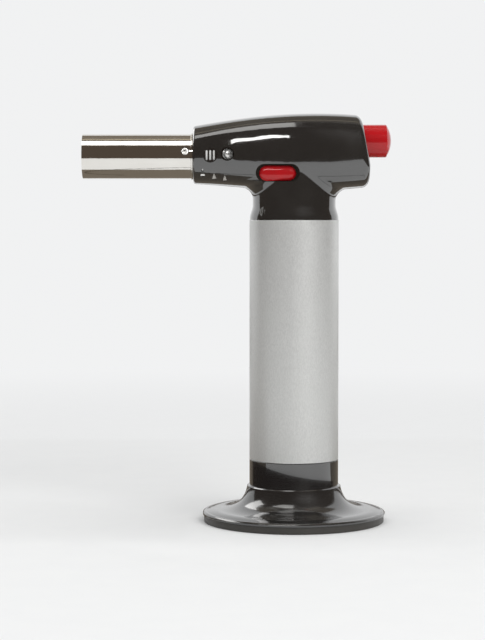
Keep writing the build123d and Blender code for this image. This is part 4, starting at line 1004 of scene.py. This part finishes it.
# room: pale floor and sky, soft lamps, and cards that only reflections see
room = {
    "floorColour": tone(0.80, 0.80, 0.79),
    "speckColour": tone(0.79, 0.79, 0.782),
    "speckScale": 400.0,
    "floorHalf": 8,
    "skyColour": tone(0.88, 0.885, 0.89),
    "fillColour": tone(0.95, 0.97, 1.0),
    "fillStrength": 0.45,
    "fadeNear": 0.12,
    "fadeFar": 0.85,
    "darkTone": tone(0.085, 0.066, 0.052),
    "brownTone": tone(0.21, 0.18, 0.145),
    "arcSteps": 48,
}
cards = {
    "softCard": [
        (-0.62, -0.636, 1.177), (-0.02, -0.636, 1.177), (-0.02, -0.146, 1.351), (-0.62, -0.146, 1.351),
    ],
    "darkPartner": [(-0.02, -0.70, 1.25), (0.8, -0.70, 1.25), (0.8, -0.146, 1.36), (-0.02, -0.146, 1.36)],
    "streakCard": [
        (-0.046, -0.06, 0.185), (-0.0425, -0.06, 0.187), (-0.035, -0.06, 0.1838), (-0.028, -0.06, 0.1828),
        (-0.0224, -0.06, 0.1852), (-0.0176, -0.06, 0.1865), (-0.0104, -0.06, 0.1842),
        (-0.004, -0.06, 0.182), (-0.004, -0.06, 0.1782), (-0.0169, -0.06, 0.1788),
        (-0.027, -0.06, 0.1765), (-0.0403, -0.06, 0.1768), (-0.0436, -0.06, 0.1745),
    ],
    "brownCard": [(-0.9, -0.146, 1.37), (0.9, -0.146, 1.37), (0.9, 1.2, 1.37), (-0.9, 1.2, 1.37)],
    "lineCard": [(-0.9, 0.10, 1.36), (0.9, 0.10, 1.36), (0.9, 0.18, 1.36), (-0.9, 0.18, 1.36)],
    "backFloorCard": [
        (-0.40, -0.052, 0.001), (-0.046, -0.052, 0.001), (-0.046, 0.0, 0.001),
        (0.40, 0.085, 0.001), (0.40, 0.30, 0.001), (-0.40, 0.30, 0.001),
    ],
}
# arcs round the handle: radius, then angle from the front towards the left, foot and top at each end
arcs = {
    "darkRing": [(0.75, 112.0, 0.002, 1.31), (0.75, -112.0, 0.002, 1.31)],
    "backRing": [(0.75, 248.0, 0.002, 0.06), (0.75, 112.0, 0.002, 0.06)],
    "lowWall": [(0.10, 125.0, 0.001, 0.0158), (0.10, -112.0, 0.001, 0.0058)],
    "leftGlow": [(0.66, 150.0, 0.40, 0.74), (0.66, 92.0, 0.40, 0.74)],
}
# colour and strength
cardLooks = {
    "softCard": (tone(1.0, 0.98, 0.95), 1.9),
    "darkPartner": (room["darkTone"], 1.0),
    "streakCard": (tone(1.0, 0.99, 0.97), 9.0),
    "brownCard": (room["brownTone"], 1.0),
    "lineCard": (tone(0.62, 0.54, 0.40), 1.0),
    "leftGlow": (tone(1.0, 0.99, 0.98), 3.6),
    "darkRing": (room["darkTone"], 1.0),
    "backRing": (room["darkTone"], 1.0),
    "lowWall": (room["darkTone"], 0.5),
    "backFloorCard": (room["brownTone"], 0.9),
}


# the ground goes with the stand that is on it, so that the torch lifts off its stand
groundPanels = ("floor", "backFloorCard", "lowWall")


def flatPanel(name, corners, faces, material):
    mesh = bpy.data.meshes.new(name)
    mesh.from_pydata(corners, [], faces)
    mesh.materials.append(material)
    panel = bpy.data.objects.new(name, mesh)
    bpy.context.scene.collection.objects.link(panel)
    if name in groundPanels:
        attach(panel, "stand")
    return panel


def glowMaterial(name, colour, strength):
    material = bpy.data.materials.new(name)
    material.use_nodes = True
    tree = material.node_tree
    tree.nodes.remove(tree.nodes["Principled BSDF"])
    glow = addNode(tree, "ShaderNodeEmission", {"Color": colour, "Strength": strength})
    tree.links.new(glow.outputs[0], tree.nodes["Material Output"].inputs["Surface"])
    return material


def reflectionCard(name, corners, faces, colour, strength):
    card = flatPanel(name, corners, faces, glowMaterial(name, colour, strength))
    card.visible_camera = False
    card.visible_diffuse = False
    card.visible_transmission = False
    card.visible_shadow = False


def seenRays(tree):
    ray = addNode(tree, "ShaderNodeLightPath").outputs
    mirrored = mathOf(tree, "MAXIMUM", ray["Is Glossy Ray"], ray["Is Transmission Ray"])
    return mathOf(tree, "MAXIMUM", ray["Is Camera Ray"], mirrored)


floorShader = {"Roughness": 0.75, "Specular IOR Level": 0.2}
floorMaterial, floorTree, floorSurface = newFinish("paleFloor", floorShader)
speckInputs = {"Grain Scale": room["speckScale"], "Stretch": evenly}
floorSpeck = placeGroup(floorTree, fineGrain, speckInputs)
floorTone = mixOf(floorTree, floorSpeck["Patches"], room["floorColour"], room["speckColour"])
floorTree.links.new(floorTone, floorSurface.inputs["Base Color"])
floorReach = addNode(floorTree, "ShaderNodeVectorMath", {0: placeOf(floorTree)}, operation="LENGTH")
farAway = rampOf(floorTree, floorReach.outputs["Value"], room["fadeNear"], room["fadeFar"])
floorSky = addNode(floorTree, "ShaderNodeEmission", {"Color": room["skyColour"], "Strength": 1.0})
floorBlend = times(floorTree, seenRays(floorTree), farAway)
floorLayers = {0: floorBlend, 1: floorSurface.outputs[0], 2: floorSky.outputs[0]}
floorMix = addNode(floorTree, "ShaderNodeMixShader", floorLayers)
floorTree.links.new(floorMix.outputs[0], floorTree.nodes["Material Output"].inputs["Surface"])
half = room["floorHalf"]
floorCorners = [(-half, -half, 0), (half, -half, 0), (half, half, 0), (-half, half, 0)]
flatPanel("floor", floorCorners, [(0, 1, 2, 3)], floorMaterial)

for cardName, corners in cards.items():
    reflectionCard(cardName, corners, [tuple(range(len(corners)))], *cardLooks[cardName])
arcSteps = room["arcSteps"]
for arcName, (first, last) in arcs.items():
    arcCorners = []
    for step in range(arcSteps + 1):
        radius, angle, foot, top = [one + (other - one) * step / arcSteps for one, other in zip(first, last)]
        turn = math.radians(angle)
        across, along = -radius * math.sin(turn), -radius * math.cos(turn)
        arcCorners += [(across, along, foot), (across, along, top)]
    arcFaces = [(2 * i, 2 * i + 2, 2 * i + 3, 2 * i + 1) for i in range(arcSteps)]
    reflectionCard(arcName, arcCorners, arcFaces, *cardLooks[arcName])

world = bpy.data.worlds.new("studio")
bpy.context.scene.world = world
world.use_nodes = True
skyTree = world.node_tree
skyFill = skyTree.nodes["Background"]
skyFill.inputs["Color"].default_value = room["fillColour"]
skyFill.inputs["Strength"].default_value = room["fillStrength"]
skySeen = addNode(skyTree, "ShaderNodeBackground", {"Color": room["skyColour"], "Strength": 1.0})
skyLayers = {0: seenRays(skyTree), 1: skyFill.outputs[0], 2: skySeen.outputs[0]}
skyMix = addNode(skyTree, "ShaderNodeMixShader", skyLayers)
skyTree.links.new(skyMix.outputs[0], skyTree.nodes["World Output"].inputs["Surface"])

lamps = {
    "frontSoftbox": {"place": (0.75, -1.20, 0.95), "size": (1.0, 0.8), "watts": 11.0},
    "overheadSoftbox": {"place": (0.0, 0.05, 1.9), "size": (2.2, 1.1), "watts": 22.0},
    "leftSoftbox": {"place": (-1.3, -1.1, 0.9), "size": (0.6, 0.8), "watts": 1.0},
}
aim = Vector((-0.01, 0.0, 0.09))
for lampName, lamp in lamps.items():
    light = bpy.data.lights.new(lampName, "AREA")
    light.shape = "RECTANGLE"
    light.size, light.size_y = lamp["size"]
    light.energy = lamp["watts"]
    holder = bpy.data.objects.new(lampName, light)
    holder.visible_camera = False
    bpy.context.scene.collection.objects.link(holder)
    place = Vector(lamp["place"])
    aimed = (aim - place).to_track_quat("-Z", "Y").to_matrix().to_4x4()
    holder.matrix_world = Matrix.Translation(place) @ aimed
print("room and lamps placed")


# camera
view = {"place": (-0.022, -0.811, 0.12907), "tiltDown": 3.03, "lens": 106.9}
cameraData = bpy.data.cameras.new("camera")
cameraData.lens = view["lens"]
cameraData.clip_start = 0.01
camera = bpy.data.objects.new("camera", cameraData)
bpy.context.scene.collection.objects.link(camera)
camera.location = view["place"]
camera.rotation_euler = (math.radians(90 - view["tiltDown"]), 0.0, 0.0)
bpy.context.scene.camera = camera
bpy.context.scene.view_settings.view_transform = "Standard"
